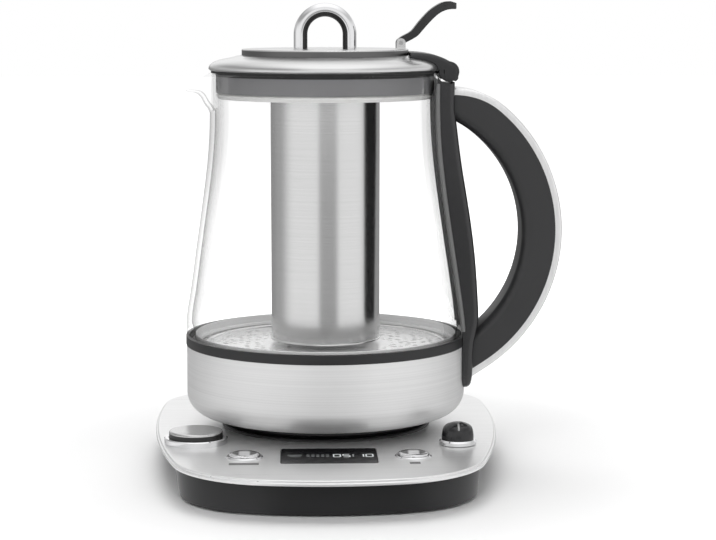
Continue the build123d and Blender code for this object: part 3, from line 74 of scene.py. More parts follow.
Corner = tuple[float, float]
Piece = bpy.types.Object
Node = bpy.types.Node
Socket = bpy.types.NodeSocket
WHITE = (1.0, 1.0, 1.0, 1.0)

# scales of the noise that varies a finish, per metre
CLOUD = 25.0
WEAR = 18.0
GLOSS = 60.0
HAZE = 260.0

FRONT_TO_BACK = Matrix.Scale(-1.0, 4, (0.0, 1.0, 0.0))
JOIN_DISTANCE = 0.001 * MM
TURN_STEPS = 96


def middle(node: str) -> Corner:
    """The middle of a CAD node in plan, in metres."""
    low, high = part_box(node)
    return (low[0] + high[0]) / 2, (low[1] + high[1]) / 2


def grey(level: float) -> Colour:
    """A neutral colour."""
    return level, level, level


def tinted(colour: Colour, share: float) -> Colour:
    """A colour times a share, kept within white."""
    return tuple(min(1.0, part * share) for part in colour)


# ---- shader maths
class Value:
    """A number that changes over a surface. Python operators on it add Math nodes."""

    def __init__(self, tree: Tree, socket: Socket) -> None:
        """Keep the tree and the socket.

        Args:
            tree: The node tree that the socket is in.
            socket: An output socket that carries one number.
        """
        self.tree = tree
        self.socket = socket

    def _math(self, operation: str, *others: Value | float, swap: bool = False) -> Value:
        """Add a Math node.

        Args:
            operation: The Math node's operation.
            others: The other operands.
            swap: Whether this value is the second operand.

        Returns:
            The node's result.
        """
        operands = [self, *others]
        if swap:
            operands.reverse()
        node = self.tree.node("Math", dict(enumerate(operands)), {"operation": operation})
        return Value(self.tree, node.outputs[0])

    def __add__(self, other: Value | float) -> Value:
        """Sum."""
        return self._math("ADD", other)

    __radd__ = __add__

    def __sub__(self, other: Value | float) -> Value:
        """Difference."""
        return self._math("SUBTRACT", other)

    def __rsub__(self, other: float) -> Value:
        """Difference from a number."""
        return self._math("SUBTRACT", other, swap=True)

    def __mul__(self, other: Value | float) -> Value:
        """Product."""
        return self._math("MULTIPLY", other)

    __rmul__ = __mul__

    def __truediv__(self, other: Value | float) -> Value:
        """Quotient."""
        return self._math("DIVIDE", other)

    def __pow__(self, other: float) -> Value:
        """Power."""
        return self._math("POWER", other)

    def clamped(self) -> Value:
        """The value kept between 0 and 1."""
        return self._math("MINIMUM", 1.0)._math("MAXIMUM", 0.0)

    def size(self) -> Value:
        """Its absolute value."""
        return self._math("ABSOLUTE")

    def angle_to(self, other: Value) -> Value:
        """The angle whose tangent is this value over the other."""
        return self._math("ARCTAN2", other)

    def step(self, start: float, end: float) -> Value:
        """A smooth step from 0 at start to 1 at end.

        Args:
            start: Where the result is still 0.
            end: Where the result reaches 1.

        Returns:
            The step.
        """
        rise = ((self - start) / (end - start)).clamped()
        return rise * rise * (3.0 - 2.0 * rise)


class Tree:
    """A node tree of a material or of the world."""

    def __init__(self, tree: bpy.types.NodeTree) -> None:
        """Empty the tree.

        Args:
            tree: Blender's node tree.
        """
        self.tree = tree
        tree.nodes.clear()

    def node(self, kind: str, inputs: dict | None = None, settings: dict | None = None) -> Node:
        """Add any shader node.

        Args:
            kind: The node's Blender type, without the ShaderNode that it begins with.
            inputs: Socket name or place to a number, colour, Value or output socket.
            settings: Properties of the node, set before its sockets.

        Returns:
            The node.
        """
        made = self.tree.nodes.new("ShaderNode" + kind)
        for name, setting in (settings or {}).items():
            setattr(made, name, setting)
        for name, given in (inputs or {}).items():
            source = given.socket if isinstance(given, Value) else given
            if isinstance(source, Socket):
                self.tree.links.new(source, made.inputs[name])
            else:
                made.inputs[name].default_value = source
        return made

    def value(self, node: Node, output: str | int = 0) -> Value:
        """One of a node's outputs as a Value."""
        return Value(self, node.outputs[output])

    def place(self, scale: Sequence[float] = (1.0, 1.0, 1.0),
              centre: Sequence[float] = (0.0, 0.0, 0.0)) -> Socket:
        """Object coordinates, scaled about a centre.

        Args:
            scale: Scale along each axis.
            centre: The point that becomes the origin, in metres.

        Returns:
            The vector socket.
        """
        where = self.node("TexCoord").outputs["Object"]
        shift = self.node("VectorMath", {0: where, 1: tuple(centre)}, {"operation": "SUBTRACT"})
        return self.node("VectorMath", {0: shift.outputs[0], 1: tuple(scale)},
                         {"operation": "MULTIPLY"}).outputs[0]

    def parts(self, vector: Socket) -> tuple[Value, Value, Value]:
        """The three numbers of a vector."""
        split = self.node("SeparateXYZ", {0: vector})
        return tuple(self.value(split, axis) for axis in range(3))

    def noise(self, scale: float, detail: float = 2.0, where: Socket | None = None) -> Value:
        """Noise over the object.

        Args:
            scale: Its scale.
            detail: Its octaves.
            where: The vector it is read at, or None for the object's own coordinates.

        Returns:
            The noise, about 0 to 1.
        """
        vector = self.place() if where is None else where
        made = self.node("TexNoise", {"Vector": vector, "Scale": scale, "Detail": detail})
        return self.value(made, "Fac")

    def blend(self, share: Value, low: Colour | Socket, high: Colour | Socket) -> Socket:
        """A colour between two others.

        Args:
            share: 0 for the first colour, 1 for the second.
            low: The first colour.
            high: The second colour.

        Returns:
            The colour socket.
        """
        first, second, output = 6, 7, 2  # the Mix node's places for colours
        low, high = ((*end, 1.0) if isinstance(end, tuple) else end for end in (low, high))
        mix = self.node("Mix", {"Factor": share, first: low, second: high}, {"data_type": "RGBA"})
        return mix.outputs[output]

    def bump(self, height: Value, strength: float, distance: float) -> Socket:
        """A Bump node's normal.

        Args:
            height: The height over the surface.
            strength: How strongly it shows.
            distance: What a height of 1 stands for, in metres.

        Returns:
            The normal socket.
        """
        return self.node("Bump", {
            "Strength": strength, "Distance": distance, "Height": height}).outputs[0]


# ---- finishes
class Grain(Enum):
    """Which way a metal is brushed: the scale of its streaks along each axis."""

    SIDE_TO_SIDE = (6.0, 900.0, 900.0)
    AROUND = (4.0, 4.0, 1500.0)
    UPWARDS = (900.0, 900.0, 8.0)
    SATIN = (300.0, 300.0, 300.0)


@dataclass(frozen=True)
class Finish:
    """What every finish has: a name and a way to make its material."""

    name: str

    def build(self) -> bpy.types.Material:
        """Make the material.

        Returns:
            The material, named as the finish.
        """
        material = bpy.data.materials.new(self.name)
        material.use_nodes = True
        tree = Tree(material.node_tree)
        tree.node("OutputMaterial", {"Surface": self.shade(tree).outputs[0]})
        return material

    def shade(self, tree: Tree) -> Node:
        """Add the finish's nodes and give the one that shades the surface."""
        raise NotImplementedError


@dataclass(frozen=True)
class BrushedSteel(Finish):
    """Steel with fine streaks one way, and faint cloudy wear."""

    grain: Grain
    colour: Colour = grey(0.62)
    roughness: float = 0.3
    streaks: float = 0.1
    depth: float = 0.02 * MM
    metal: float = 1.0

    def shade(self, tree: Tree) -> Node:
        """Add the finish's nodes.

        Args:
            tree: The material's empty tree.

        Returns:
            The node that shades the surface.
        """
        streak = tree.noise(1.0, 3.0, tree.place(self.grain.value))
        cloud = tree.noise(WEAR, 3.0)
        tone = (0.5 + (streak - 0.5) * 0.9 + (cloud - 0.5) * 0.35).clamped()
        colour = tree.blend(tone, tinted(self.colour, 0.88), tinted(self.colour, 1.1))
        rough = (self.roughness + (streak - 0.5) * self.streaks + (cloud - 0.5) * 0.06).clamped()
        return tree.node("BsdfPrincipled", {
            "Base Color": colour, "Metallic": self.metal, "Roughness": rough,
            "Normal": tree.bump(streak, 0.25, self.depth)})


@dataclass(frozen=True)
class PaintedShadeSteel(BrushedSteel):
    """Brushed steel down to a level, and a painted shade below it: a dark band standing in for shade and dark
    reflection on a side.
    """

    level: float = 0.0
    edge: float = 0.1 * MM
    dark: Colour = grey(0.012)
    painted_shade_metal: float = 0.0

    def shade(self, tree: Tree) -> Node:
        """Add the finish's nodes.

        Args:
            tree: The material's empty tree.

        Returns:
            The node that shades the surface.
        """
        streak = tree.noise(1.0, 3.0, tree.place(self.grain.value))
        _, _, height = tree.parts(tree.place())
        # painted shade: below the level the colour turns dark and the metal changes, standing in for shade
        # and dark reflection on the side
        steel = height.step(self.level - self.edge, self.level + self.edge)
        bright = tree.blend(streak, tinted(self.colour, 0.9), self.colour)
        metal = (self.painted_shade_metal + steel * (self.metal - self.painted_shade_metal)).clamped()
        return tree.node("BsdfPrincipled", {
            "Base Color": tree.blend(steel, self.dark, bright), "Metallic": metal,
            "Roughness": (self.roughness + (streak - 0.5) * self.streaks + (1.0 - steel) * 0.1).clamped(),
            "Normal": tree.bump(streak, 0.25, self.depth)})


@dataclass(frozen=True)
class SteelFloor(Finish):
    """Rolled steel of the jug's floor: bright, with shallow dimples in a ring round its middle, each darkened
    with a painted shade.
    """

    colour: Colour = grey(0.84)
    ring: Corner = (36.0 * MM, 60.0 * MM)
    fade: Corner = (4.0 * MM, 2.0 * MM)
    dimple_and_painted_shade: Corner = (0.16, 0.42)
    dimple_scale: float = 230.0
    dimple_depth: float = 0.8 * MM

    def shade(self, tree: Tree) -> Node:
        """Add the finish's nodes.

        Args:
            tree: The material's empty tree.

        Returns:
            The node that shades the surface.
        """
        x, y, _ = tree.parts(tree.place())
        out = (x * x + y * y) ** 0.5
        rise, fall = (out.step(edge - fade, edge + fade) for edge, fade in zip(self.ring, self.fade))
        cells = tree.value(tree.node("TexVoronoi", {
            "Vector": tree.place(), "Scale": self.dimple_scale, "Randomness": 0.55}), "Distance")
        dimple_and_painted_shade = (1.0 - cells.step(*self.dimple_and_painted_shade)) * rise * (1.0 - fall)
        cloud = tree.noise(GLOSS, 3.0)
        # the dimples get a painted shade, darkening their colour; the cloud adds random tone
        return tree.node("BsdfPrincipled", {
            "Base Color": tree.blend((dimple_and_painted_shade * 0.75 + (cloud - 0.4) * 0.25).clamped(), self.colour,
                                     tinted(self.colour, 0.4)),
            "Metallic": 0.6, "Roughness": 0.2 + cloud * 0.12,
            "Normal": tree.bump(cloud * 0.1 - dimple_and_painted_shade, 0.5, self.dimple_depth)})


@dataclass(frozen=True)
class Chrome(Finish):
    """Polished plating with a faint haze."""

    colour: Colour = (0.8, 0.8, 0.81)
    roughness: float = 0.06

    def shade(self, tree: Tree) -> Node:
        """Add the finish's nodes.

        Args:
            tree: The material's empty tree.

        Returns:
            The node that shades the surface.
        """
        haze = tree.noise(HAZE)
        return tree.node("BsdfPrincipled", {
            "Base Color": tree.blend(haze, tinted(self.colour, 0.94), self.colour),
            "Metallic": 1.0, "Roughness": self.roughness + haze * 0.05})


@dataclass(frozen=True)
class PaintedReflectionArchChrome(Chrome):
    """Polished plating on an arch of bar, with a painted reflection on the arch's inner side: a dark, dull
    band standing in for a dark reflection.
    """

    crown: float = 0.0
    painted_reflection_radius: float = 12.1 * MM
    edge: float = 0.15 * MM
    dark: Colour = grey(0.008)

    def shade(self, tree: Tree) -> Node:
        """Add the finish's nodes.

        Args:
            tree: The material's empty tree.

        Returns:
            The node that shades the surface.
        """
        haze = tree.noise(HAZE)
        x, _, z = tree.parts(tree.place())
        rise = (z - self.crown).clamped()
        out = (x * x + rise * rise) ** 0.5
        # painted reflection: inside this radius the arch is dark, dull and not metallic
        outside_painted_reflection = out.step(self.painted_reflection_radius - self.edge, self.painted_reflection_radius + self.edge)
        return tree.node("BsdfPrincipled", {
            "Base Color": tree.blend(outside_painted_reflection, self.dark, self.colour), "Metallic": outside_painted_reflection,
            "Roughness": self.roughness + haze * 0.05 + (1.0 - outside_painted_reflection) * 0.3})


@dataclass(frozen=True)
class PaintedReflectionButtonChrome(Chrome):
    """Polished plating of a round button, with a painted reflection: a darker patch either side of its bright
    middle, standing in for dark reflections.
    """

    centre: Corner = (0.0, 0.0)
    painted_reflection_span: Corner = (2.2 * MM, 3.4 * MM)
    rim: Corner = (6.0 * MM, 6.6 * MM)
    dark: Colour = grey(0.13)

    def shade(self, tree: Tree) -> Node:
        """Add the finish's nodes.

        Args:
            tree: The material's empty tree.

        Returns:
            The node that shades the surface.
        """
        haze = tree.noise(HAZE)
        x, y, _ = tree.parts(tree.place(centre=(*self.centre, 0.0)))
        # painted reflection: the top is darkened left and right of its middle, inside the rim
        painted_reflection = x.size().step(*self.painted_reflection_span) * (1.0 - ((x * x + y * y) ** 0.5).step(*self.rim))
        return tree.node("BsdfPrincipled", {
            "Base Color": tree.blend(painted_reflection, self.colour, self.dark), "Metallic": 1.0,
            "Roughness": self.roughness + haze * 0.05 + painted_reflection * 0.1})


@dataclass(frozen=True)
class PaintedShadowPlastic(Finish):
    """Moulded plastic with a painted shadow: a darker, duller band above a level, standing in for the shadow
    in the gap under the lid.
    """

    colour: Colour = (0.17, 0.17, 0.175)
    dark: Colour = grey(0.012)
    level: float = 0.0
    edge: float = 0.3 * MM
    roughness: float = 0.34
    texture: float = 0.02 * MM
    texture_scale: float = 700.0

    def shade(self, tree: Tree) -> Node:
        """Add the finish's nodes.

        Args:
            tree: The material's empty tree.

        Returns:
            The node that shades the surface.
        """
        cloud = tree.noise(CLOUD, 3.0)
        fine = tree.noise(self.texture_scale)
        _, _, height = tree.parts(tree.place())
        # painted shadow: above the level the colour turns dark and duller
        painted_shadow_band = height.step(self.level - self.edge, self.level + self.edge)
        shade = (painted_shadow_band + (0.5 - cloud) * 0.12).clamped()
        return tree.node("BsdfPrincipled", {
            "Base Color": tree.blend(shade, self.colour, self.dark), "Roughness": self.roughness + painted_shadow_band * 0.3,
            "Normal": tree.bump(fine, 0.35, self.texture)})


@dataclass(frozen=True)
class MarkedKnob(Finish):
    """Polished dark plastic with a pale pointer line from the cap's top down its front."""

    colour: Colour = (0.012, 0.012, 0.013)
    mark: Colour = grey(0.3)
    centre: Corner = (0.0, 0.0)
    half_width: float = 0.45 * MM
    start: float = 3.0 * MM
    end: float = 7.5 * MM
    edge: float = 0.1 * MM

    def shade(self, tree: Tree) -> Node:
        """Add the finish's nodes.

        Args:
            tree: The material's empty tree.

        Returns:
            The node that shades the surface.
        """
        x, y, _ = tree.parts(tree.place(centre=(*self.centre, 0.0)))
        cloud = tree.noise(GLOSS, 3.0)
        down = y * -1.0
        across = 1.0 - x.size().step(self.half_width, self.half_width + self.edge)
        begun = down.step(self.start, self.start + 2 * self.edge)
        ended = down.step(self.end, self.end + 2 * self.edge)
        line = across * begun * (1.0 - ended)
        return tree.node("BsdfPrincipled", {
            "Base Color": tree.blend(line, self.colour, self.mark), "Roughness": 0.12 + cloud * 0.12})


@dataclass(frozen=True)
class Moulding(Finish):
    """Moulded plastic, rubber or silicone: a fine texture and slight unevenness of colour and gloss."""

    colour: Colour
    roughness: float = 0.4
    texture: float = 0.03 * MM
    texture_scale: float = 1400.0
    coat: float = 0.0
    specular: float = 0.5

    def shade(self, tree: Tree) -> Node:
        """Add the finish's nodes.

        Args:
            tree: The material's empty tree.

        Returns:
            The node that shades the surface.
        """
        fine = tree.noise(self.texture_scale)
        cloud = tree.noise(CLOUD, 3.0)
        tone = (cloud * 0.7 + fine * 0.3).clamped()
        return tree.node("BsdfPrincipled", {
            "Base Color": tree.blend(tone, tinted(self.colour, 0.85), tinted(self.colour, 1.15)),
            "Roughness": (self.roughness + (cloud - 0.5) * 0.12).clamped(),
            "Coat Weight": self.coat, "Coat Roughness": 0.08, "Specular IOR Level": self.specular,
            "Normal": tree.bump(fine, 0.35, self.texture)})


@dataclass(frozen=True)
class ClearGlass(Finish):
    """Clear blown glass: light passes straight, faintly greyed along its wall, and its faces shine."""

    clear: Colour = grey(0.985)
    along: Colour = grey(0.66)
    shine: float = 0.22
    ripple: float = 1.0 * MM

    def shade(self, tree: Tree) -> Node:
        """Add the finish's nodes.

        Args:
            tree: The material's empty tree.

        Returns:
            The node that shades the surface.
        """
        ripple = tree.noise(22.0, where=tree.place((1.0, 1.0, 0.35)))
        facing = tree.value(tree.node("LayerWeight", {"Blend": 0.35}), "Facing")
        tone = tree.blend(facing.step(0.4, 1.0), self.clear, self.along)
        through = tree.node("BsdfTransparent", {"Color": tone})
        gloss = tree.node("BsdfGlossy", {
            "Color": WHITE, "Roughness": 0.02, "Normal": tree.bump(ripple, 0.05, self.ripple)})
        fresnel = tree.value(tree.node("LayerWeight", {"Blend": 0.12}), "Fresnel")
        return tree.node("MixShader", {
            0: (fresnel * self.shine).clamped(), 1: through.outputs[0], 2: gloss.outputs[0]})


@dataclass(frozen=True)
class Lit(Finish):
    """A lit segment of the display."""

    colour: Colour
    strength: float = 1.0

    def shade(self, tree: Tree) -> Node:
        """Add the finish's nodes.

        Args:
            tree: The material's empty tree.

        Returns:
            The node that shades the surface.
        """
        flicker = tree.noise(900.0, 1.0)
        return tree.node("BsdfPrincipled", {
            "Base Color": (*tinted(self.colour, 0.3), 1.0), "Roughness": 0.3,
            "Emission Color": tree.blend(flicker, tinted(self.colour, 0.85), self.colour),
            "Emission Strength": self.strength})


@dataclass(frozen=True)
class CircuitBoard(Finish):
    """Lacquered board with faint tracks."""

    board: Colour = (0.03, 0.14, 0.06)
    track: Colour = (0.07, 0.25, 0.11)

    def shade(self, tree: Tree) -> Node:
        """Add the finish's nodes.

        Args:
            tree: The material's empty tree.

        Returns:
            The node that shades the surface.
        """
        lines = tree.value(tree.node("TexBrick", {
            "Vector": tree.place(), "Scale": 180.0, "Mortar Size": 0.03}), "Fac")
        return tree.node("BsdfPrincipled", {
            "Base Color": tree.blend(lines, self.board, self.track), "Roughness": 0.35 + lines * 0.15,
            "Coat Weight": 0.4})


class FinishBook:
    """The object's finishes, each made once."""

    # how far the bright tops reach down the lid's disc and the start button before the painted shade on their
    # sides, and how far below the glass's rim the collar's painted shadow begins
    disc_edge: ClassVar[float] = 0.7 * MM
    start_top: ClassVar[float] = 1.3 * MM
    collar_painted_shadow: ClassVar[float] = 1.6 * MM

    def __init__(self) -> None:
        """Make every finish's material."""
        finishes = (*self.metals(), *self.platings(), *self.mouldings(), *self.others())
        self.materials = {finish.name: finish.build() for finish in finishes}

    def metals(self) -> tuple[Finish, ...]:
        """The brushed and cast metals.

        Returns:
            The finishes.
        """
        around, flat, satin = Grain.AROUND, Grain.SIDE_TO_SIDE, Grain.SATIN
        return (
            BrushedSteel("brushed_plate", flat, grey(0.8), 0.3, metal=0.72),
            BrushedSteel("cup_steel", around, grey(0.78), 0.5, 0.05, 0.006 * MM, metal=0.6),
            BrushedSteel("lid_steel", around, grey(0.7), 0.26, 0.06, 0.01 * MM),
            # the lid's disc has a painted shade down its side, below its bright top
            PaintedShadeSteel("disc_steel", around, grey(0.7), 0.28, dark=grey(0.15),
                         level=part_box("lid_disc")[1][2] - self.disc_edge, painted_shade_metal=1.0),
            BrushedSteel("trim_steel", Grain.UPWARDS, grey(0.8), 0.36, metal=0.8),
            # the start button has a painted dark reflection down its side, below its brushed top
            PaintedShadeSteel("button_steel", flat, grey(0.62), 0.22,
                         level=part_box("start_button")[1][2] - self.start_top),
            BrushedSteel("infuser_steel", around, grey(0.74), 0.2, 0.05, 0.006 * MM),
            SteelFloor("floor_steel"),
            BrushedSteel("rim_steel", around, grey(0.86), 0.34, metal=0.25),
            BrushedSteel("screw_steel", satin, grey(0.5), 0.35),
            BrushedSteel("contact_brass", satin, (0.72, 0.52, 0.22), 0.3),
            BrushedSteel("cast_aluminium", satin, (0.6, 0.6, 0.61), 0.5),
            BrushedSteel("encoder_case", satin, (0.55, 0.55, 0.56), 0.45))

    @staticmethod
    def platings() -> tuple[Finish, ...]:
        """The polished platings.

        Returns:
            The finishes.
        """
        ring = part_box("ring_handle")[1]
        return (
            Chrome("bright_chrome"),
            # the ring handle's chrome has a painted dark reflection on its inner side
            PaintedReflectionArchChrome("ring_chrome", crown=ring[2] - ring[0]),
            # the two small buttons have painted dark reflections either side of their middles
            PaintedReflectionButtonChrome("time_chrome", centre=middle("time_button")),
            PaintedReflectionButtonChrome("heat_chrome", centre=middle("heat_button")))

    def mouldings(self) -> tuple[Finish, ...]:
        """The plastics, rubber and silicone.

        Returns:
            The finishes.
        """
        return (
            Moulding("black_plastic", (0.012, 0.012, 0.013), 0.45, specular=0.4),
            Moulding("gloss_black", (0.016, 0.016, 0.017), 0.34, 0.01 * MM, 500.0, specular=0.45),
            Moulding("ring_black", (0.016, 0.016, 0.017), 0.4, 0.01 * MM, 500.0, specular=0.4),
            Moulding("rail_black", (0.014, 0.014, 0.015), 0.22, 0.006 * MM, 500.0, specular=0.6),
            Moulding("grip_black", (0.024, 0.024, 0.025), 0.42, 0.02 * MM, 900.0, specular=0.45),
            Moulding("foot_rubber", grey(0.02), 0.75, 0.06 * MM, 900.0),
            Moulding("clear_silicone", (0.72, 0.72, 0.71), 0.4, 0.02 * MM, 700.0),
            # the collar has a painted shadow along its top, in the gap under the lid
            PaintedShadowPlastic("collar_grey", level=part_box("glass_jug")[1][2] - self.collar_painted_shadow),
            Moulding("bead_grey", grey(0.14), 0.3, 0.01 * MM, 700.0),
            Moulding("display_black", (0.004, 0.004, 0.005), 0.16, 0.004 * MM, 300.0),
            Moulding("display_module", (0.12, 0.14, 0.14), 0.5),
            Moulding("component_black", grey(0.02), 0.5),
            MarkedKnob("knob_black", centre=middle("selector_cap")),
            Moulding("printed_grey", grey(0.12), 0.5, 0.004 * MM, 900.0))

    @staticmethod
    def others() -> tuple[Finish, ...]:
        """The circuit board, the glass and the lit segments.

        Returns:
            The finishes.
        """
        return (
            CircuitBoard("circuit_board"),
            ClearGlass("jug_glass"),
            Lit("segment_lit", (0.72, 0.76, 0.76), 0.7),
            Lit("segment_dim", (0.16, 0.17, 0.17), 0.6))

    def put(self, piece: Piece, name: str) -> None:
        """Give a piece one finish all over.

        Args:
            piece: The piece.
            name: The finish's name.
        """
        slots = piece.data.materials
        slots.clear()
        slots.append(self.materials[name])


# ---- modelling
@dataclass(frozen=True)
class Card:
    """What a new piece is called, the body it rides on, the record's slot and its finish."""

    name: str
    body: str
    slot: str
    finish: str

    def named(self, name: str) -> Card:
        """The same card under another name."""
        return replace(self, name=name)


class Bench:
    """Where new pieces are modelled, and how they are handed over to the frame."""

    def __init__(self, frame: dict, book: FinishBook) -> None:
        """Keep the frame and the finishes.

        Args:
            book: The finishes.
        """
        record = frame["record"]
        self.nodes = frame["nodes"]
        self.slots = {row["node"]: row["material_slot"] for row in record["subparts"]}
        self.owners = {node: body for body, nodes in record["behaviour"]["bodies"].items() for node in nodes}
        self.book = book

    def dress(self, node: str, finish: str | None = None) -> None:
        """Give a CAD node its finish.

        Args:
            node: The node's name.
            finish: The finish's name, or None for the one named as the record's slot.
        """
        self.book.put(self.nodes[node], finish or self.slots[node])

    @staticmethod
    def pick_none() -> None:
        """Deselect every object."""
        bpy.ops.object.select_all(action="DESELECT")

    def pick(self, piece: Piece) -> None:
        """Select one object alone and make it active.

        Args:
            piece: The object.
        """
        self.pick_none()
        piece.select_set(True)
        bpy.context.view_layer.objects.active = piece

    def smooth(self, node: str, finish: str | None = None, angle: float = 28.0) -> Piece:
        """A copy of a CAD node with its triangles joined and its curved faces shaded smooth.

        Args:
            node: The CAD node it stands for.
            finish: The finish's name, or None for the one named as the record's slot.
            angle: Edges sharper than this stay sharp, in degrees.

        Returns:
            The copy, riding on the node's body.
        """
        piece = bpy.data.objects.new(node + "_skin", self.nodes[node].data.copy())
        bpy.context.scene.collection.objects.link(piece)
        self.pick(piece)
        bpy.ops.object.mode_set(mode="EDIT")
        bpy.ops.mesh.select_all(action="SELECT")
        bpy.ops.mesh.remove_doubles(threshold=JOIN_DISTANCE)
        bpy.ops.mesh.normals_make_consistent(inside=False)
        bpy.ops.object.mode_set(mode="OBJECT")
        bpy.ops.mesh.customdata_custom_splitnormals_clear()
        bpy.ops.object.shade_smooth_by_angle(angle=math.radians(angle))
        self.book.put(piece, finish or self.slots[node])
        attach(piece, self.owners[node])
        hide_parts(node)
        return piece

    def bar(self, card: Card, centre: Sequence[float], size: Sequence[float],
            bevel: float) -> Piece:
        """A small flat bar with bevelled edges.

        Args:
            card: Its name, body, slot and finish.
            centre: Middle of its underside, in metres.
            size: Its length, width and height, in metres.
            bevel: Width of the bevel, in metres.

        Returns:
            The piece.
        """
        self.pick_none()
        (x, y, z), height = centre, size[2]
        bpy.ops.mesh.primitive_cube_add(size=1.0, location=(x, y, z + height / 2), scale=size)
        piece = bpy.context.object
        bpy.ops.object.transform_apply(location=True, rotation=True, scale=True)
        self.round_edges(piece, bevel)
        return self.hand_over(piece, card)

    def round_edges(self, piece: Piece, width: float, segments: int = 2,
                    limit: float = 30.0) -> None:
        """Bevel a piece's sharp edges with an applied modifier.

        Args:
            piece: The piece.
            width: The bevel's width, in metres.
            segments: Its segments.
            limit: Edges sharper than this are bevelled, in degrees.
        """
        self.pick(piece)
        bevel = piece.modifiers.new("edges", "BEVEL")
        bevel.width = width
        bevel.segments = segments
        bevel.limit_method = "ANGLE"
        bevel.angle_limit = math.radians(limit)
        bpy.ops.object.modifier_apply(modifier=bevel.name)
        bpy.ops.object.shade_smooth_by_angle(angle=math.radians(limit))

    def spun(self, card: Card, outline: Sequence[Corner], sharp: float = 35.0) -> Piece:
        """A closed ring made by spinning an outline about the object's upright axis.

        Args:
            card: Its name, body, slot and finish.
            outline: Radius and height of each corner, in metres, in order.
            sharp: Edges sharper than this stay sharp, in degrees.

        Returns:
            The piece.
        """
        self.pick_none()
        bpy.ops.mesh.primitive_circle_add(vertices=len(outline), radius=MM, fill_type="NOTHING")
        piece = bpy.context.object
        for corner, (radius, height) in zip(piece.data.vertices, outline):
            corner.co = (radius, 0.0, height)
        bpy.ops.object.mode_set(mode="EDIT")
        bpy.ops.mesh.select_all(action="SELECT")
        bpy.ops.mesh.spin(steps=TURN_STEPS, angle=2 * math.pi, center=(0.0, 0.0, 0.0), axis=(0.0, 0.0, 1.0))
        bpy.ops.mesh.select_all(action="SELECT")
        bpy.ops.mesh.remove_doubles(threshold=JOIN_DISTANCE)
        bpy.ops.mesh.normals_make_consistent(inside=False)
        bpy.ops.object.mode_set(mode="OBJECT")
        self.pick(piece)
        bpy.ops.object.shade_smooth_by_angle(angle=math.radians(sharp))
        return self.hand_over(piece, card)

    def tube(self, card: Card, points: Sequence[Sequence[float]], radius: float,
             sharp: float = 40.0) -> Piece:
        """A round bead along a smooth line.

        Args:
            card: Its name, body, slot and finish.
            points: The line's control points, in metres.
            radius: The bead's radius, in metres.
            sharp: Edges sharper than this stay sharp, in degrees.

        Returns:
            The piece.
        """
        self.pick_none()
        bpy.ops.curve.primitive_nurbs_path_add(radius=10 * MM)
        shape = bpy.context.object.data
        line = shape.splines[0]
        line.points.add(len(points) - len(line.points))
        for point, place in zip(line.points, points):
            point.co = (*place, 1.0)
        line.order_u = 4
        line.use_endpoint_u = True
        line.resolution_u = 12
        shape.bevel_depth = radius
        shape.bevel_resolution = 6
        shape.use_fill_caps = True
        bpy.ops.object.convert(target="MESH")
        piece = bpy.context.object
        self.pick(piece)
        bpy.ops.object.shade_smooth_by_angle(angle=math.radians(sharp))
        return self.hand_over(piece, card)

    def copied(self, piece: Piece, card: Card, placing: Matrix) -> Piece:
        """A copy of a finished piece, with a mesh of its own, moved or mirrored to its place.

        Args:
            piece: The piece that is copied.
            card: The copy's name, body, slot and finish.
            placing: Where the copy stands, seen from the piece.

        Returns:
            The copy.
        """
        twin = bpy.data.objects.new(card.name, piece.data.copy())
        bpy.context.scene.collection.objects.link(twin)
        twin.data.transform(placing)
        if placing.determinant() < 0.0:
            twin.data.flip_normals()
        return self.hand_over(twin, card)

    def hand_over(self, piece: Piece, card: Card) -> Piece:
        """Name a finished piece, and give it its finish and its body.

        Args:
            piece: The piece.
            card: Its name, body, slot and finish.

        Returns:
            The piece.
        """
        piece.name = card.name
        self.book.put(piece, card.finish)
        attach(piece, card.body)
        return piece


# ---- sub-assemblies
@dataclass
class PowerBase:
    """The power base's shells, connector, controls and inner parts."""

    bench: Bench
    legend_widths: tuple[tuple[str, float], ...] = (("time_button", 15.0 * MM), ("heat_button", 5.4 * MM))
    legend_depth: float = 4.6 * MM
    legend_front: float = 8.2 * MM
    print_height: float = 0.06 * MM

    def dress(self) -> None:
        """Give the base's nodes their finishes."""
        for node in ("base_cover", "cover_screws", "inlet_gland", "connector_plug", "base_contacts",
                     "display_panel", "control_board", "board_posts", "touch_switches", "knob_encoder",
                     "power_board", "power_parts"):
            self.bench.dress(node)
        for node in ("base_housing", "base_plate", "rubber_feet", "jug_seat", "earth_pin", "button_bezels",
                     "start_button", "selector_skirt", "selector_cap"):
            self.bench.smooth(node)
        self.bench.smooth("time_button", "time_chrome")
        self.bench.smooth("heat_button", "heat_chrome")
        LOG.info("power base dressed")

    def build(self) -> None:
        """Print a short bar under each small button."""
        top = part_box("base_plate")[1][2]
        for node, width in self.legend_widths:
            place = (middle(node)[0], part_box(node)[0][1] - self.legend_front, top)
            self.bench.bar(Card(f"{node}_legend", "base", "brushed_plate", "printed_grey"), place,
                           (width, self.legend_depth, self.print_height), self.print_height / 3)
        LOG.info("power base's legends printed")


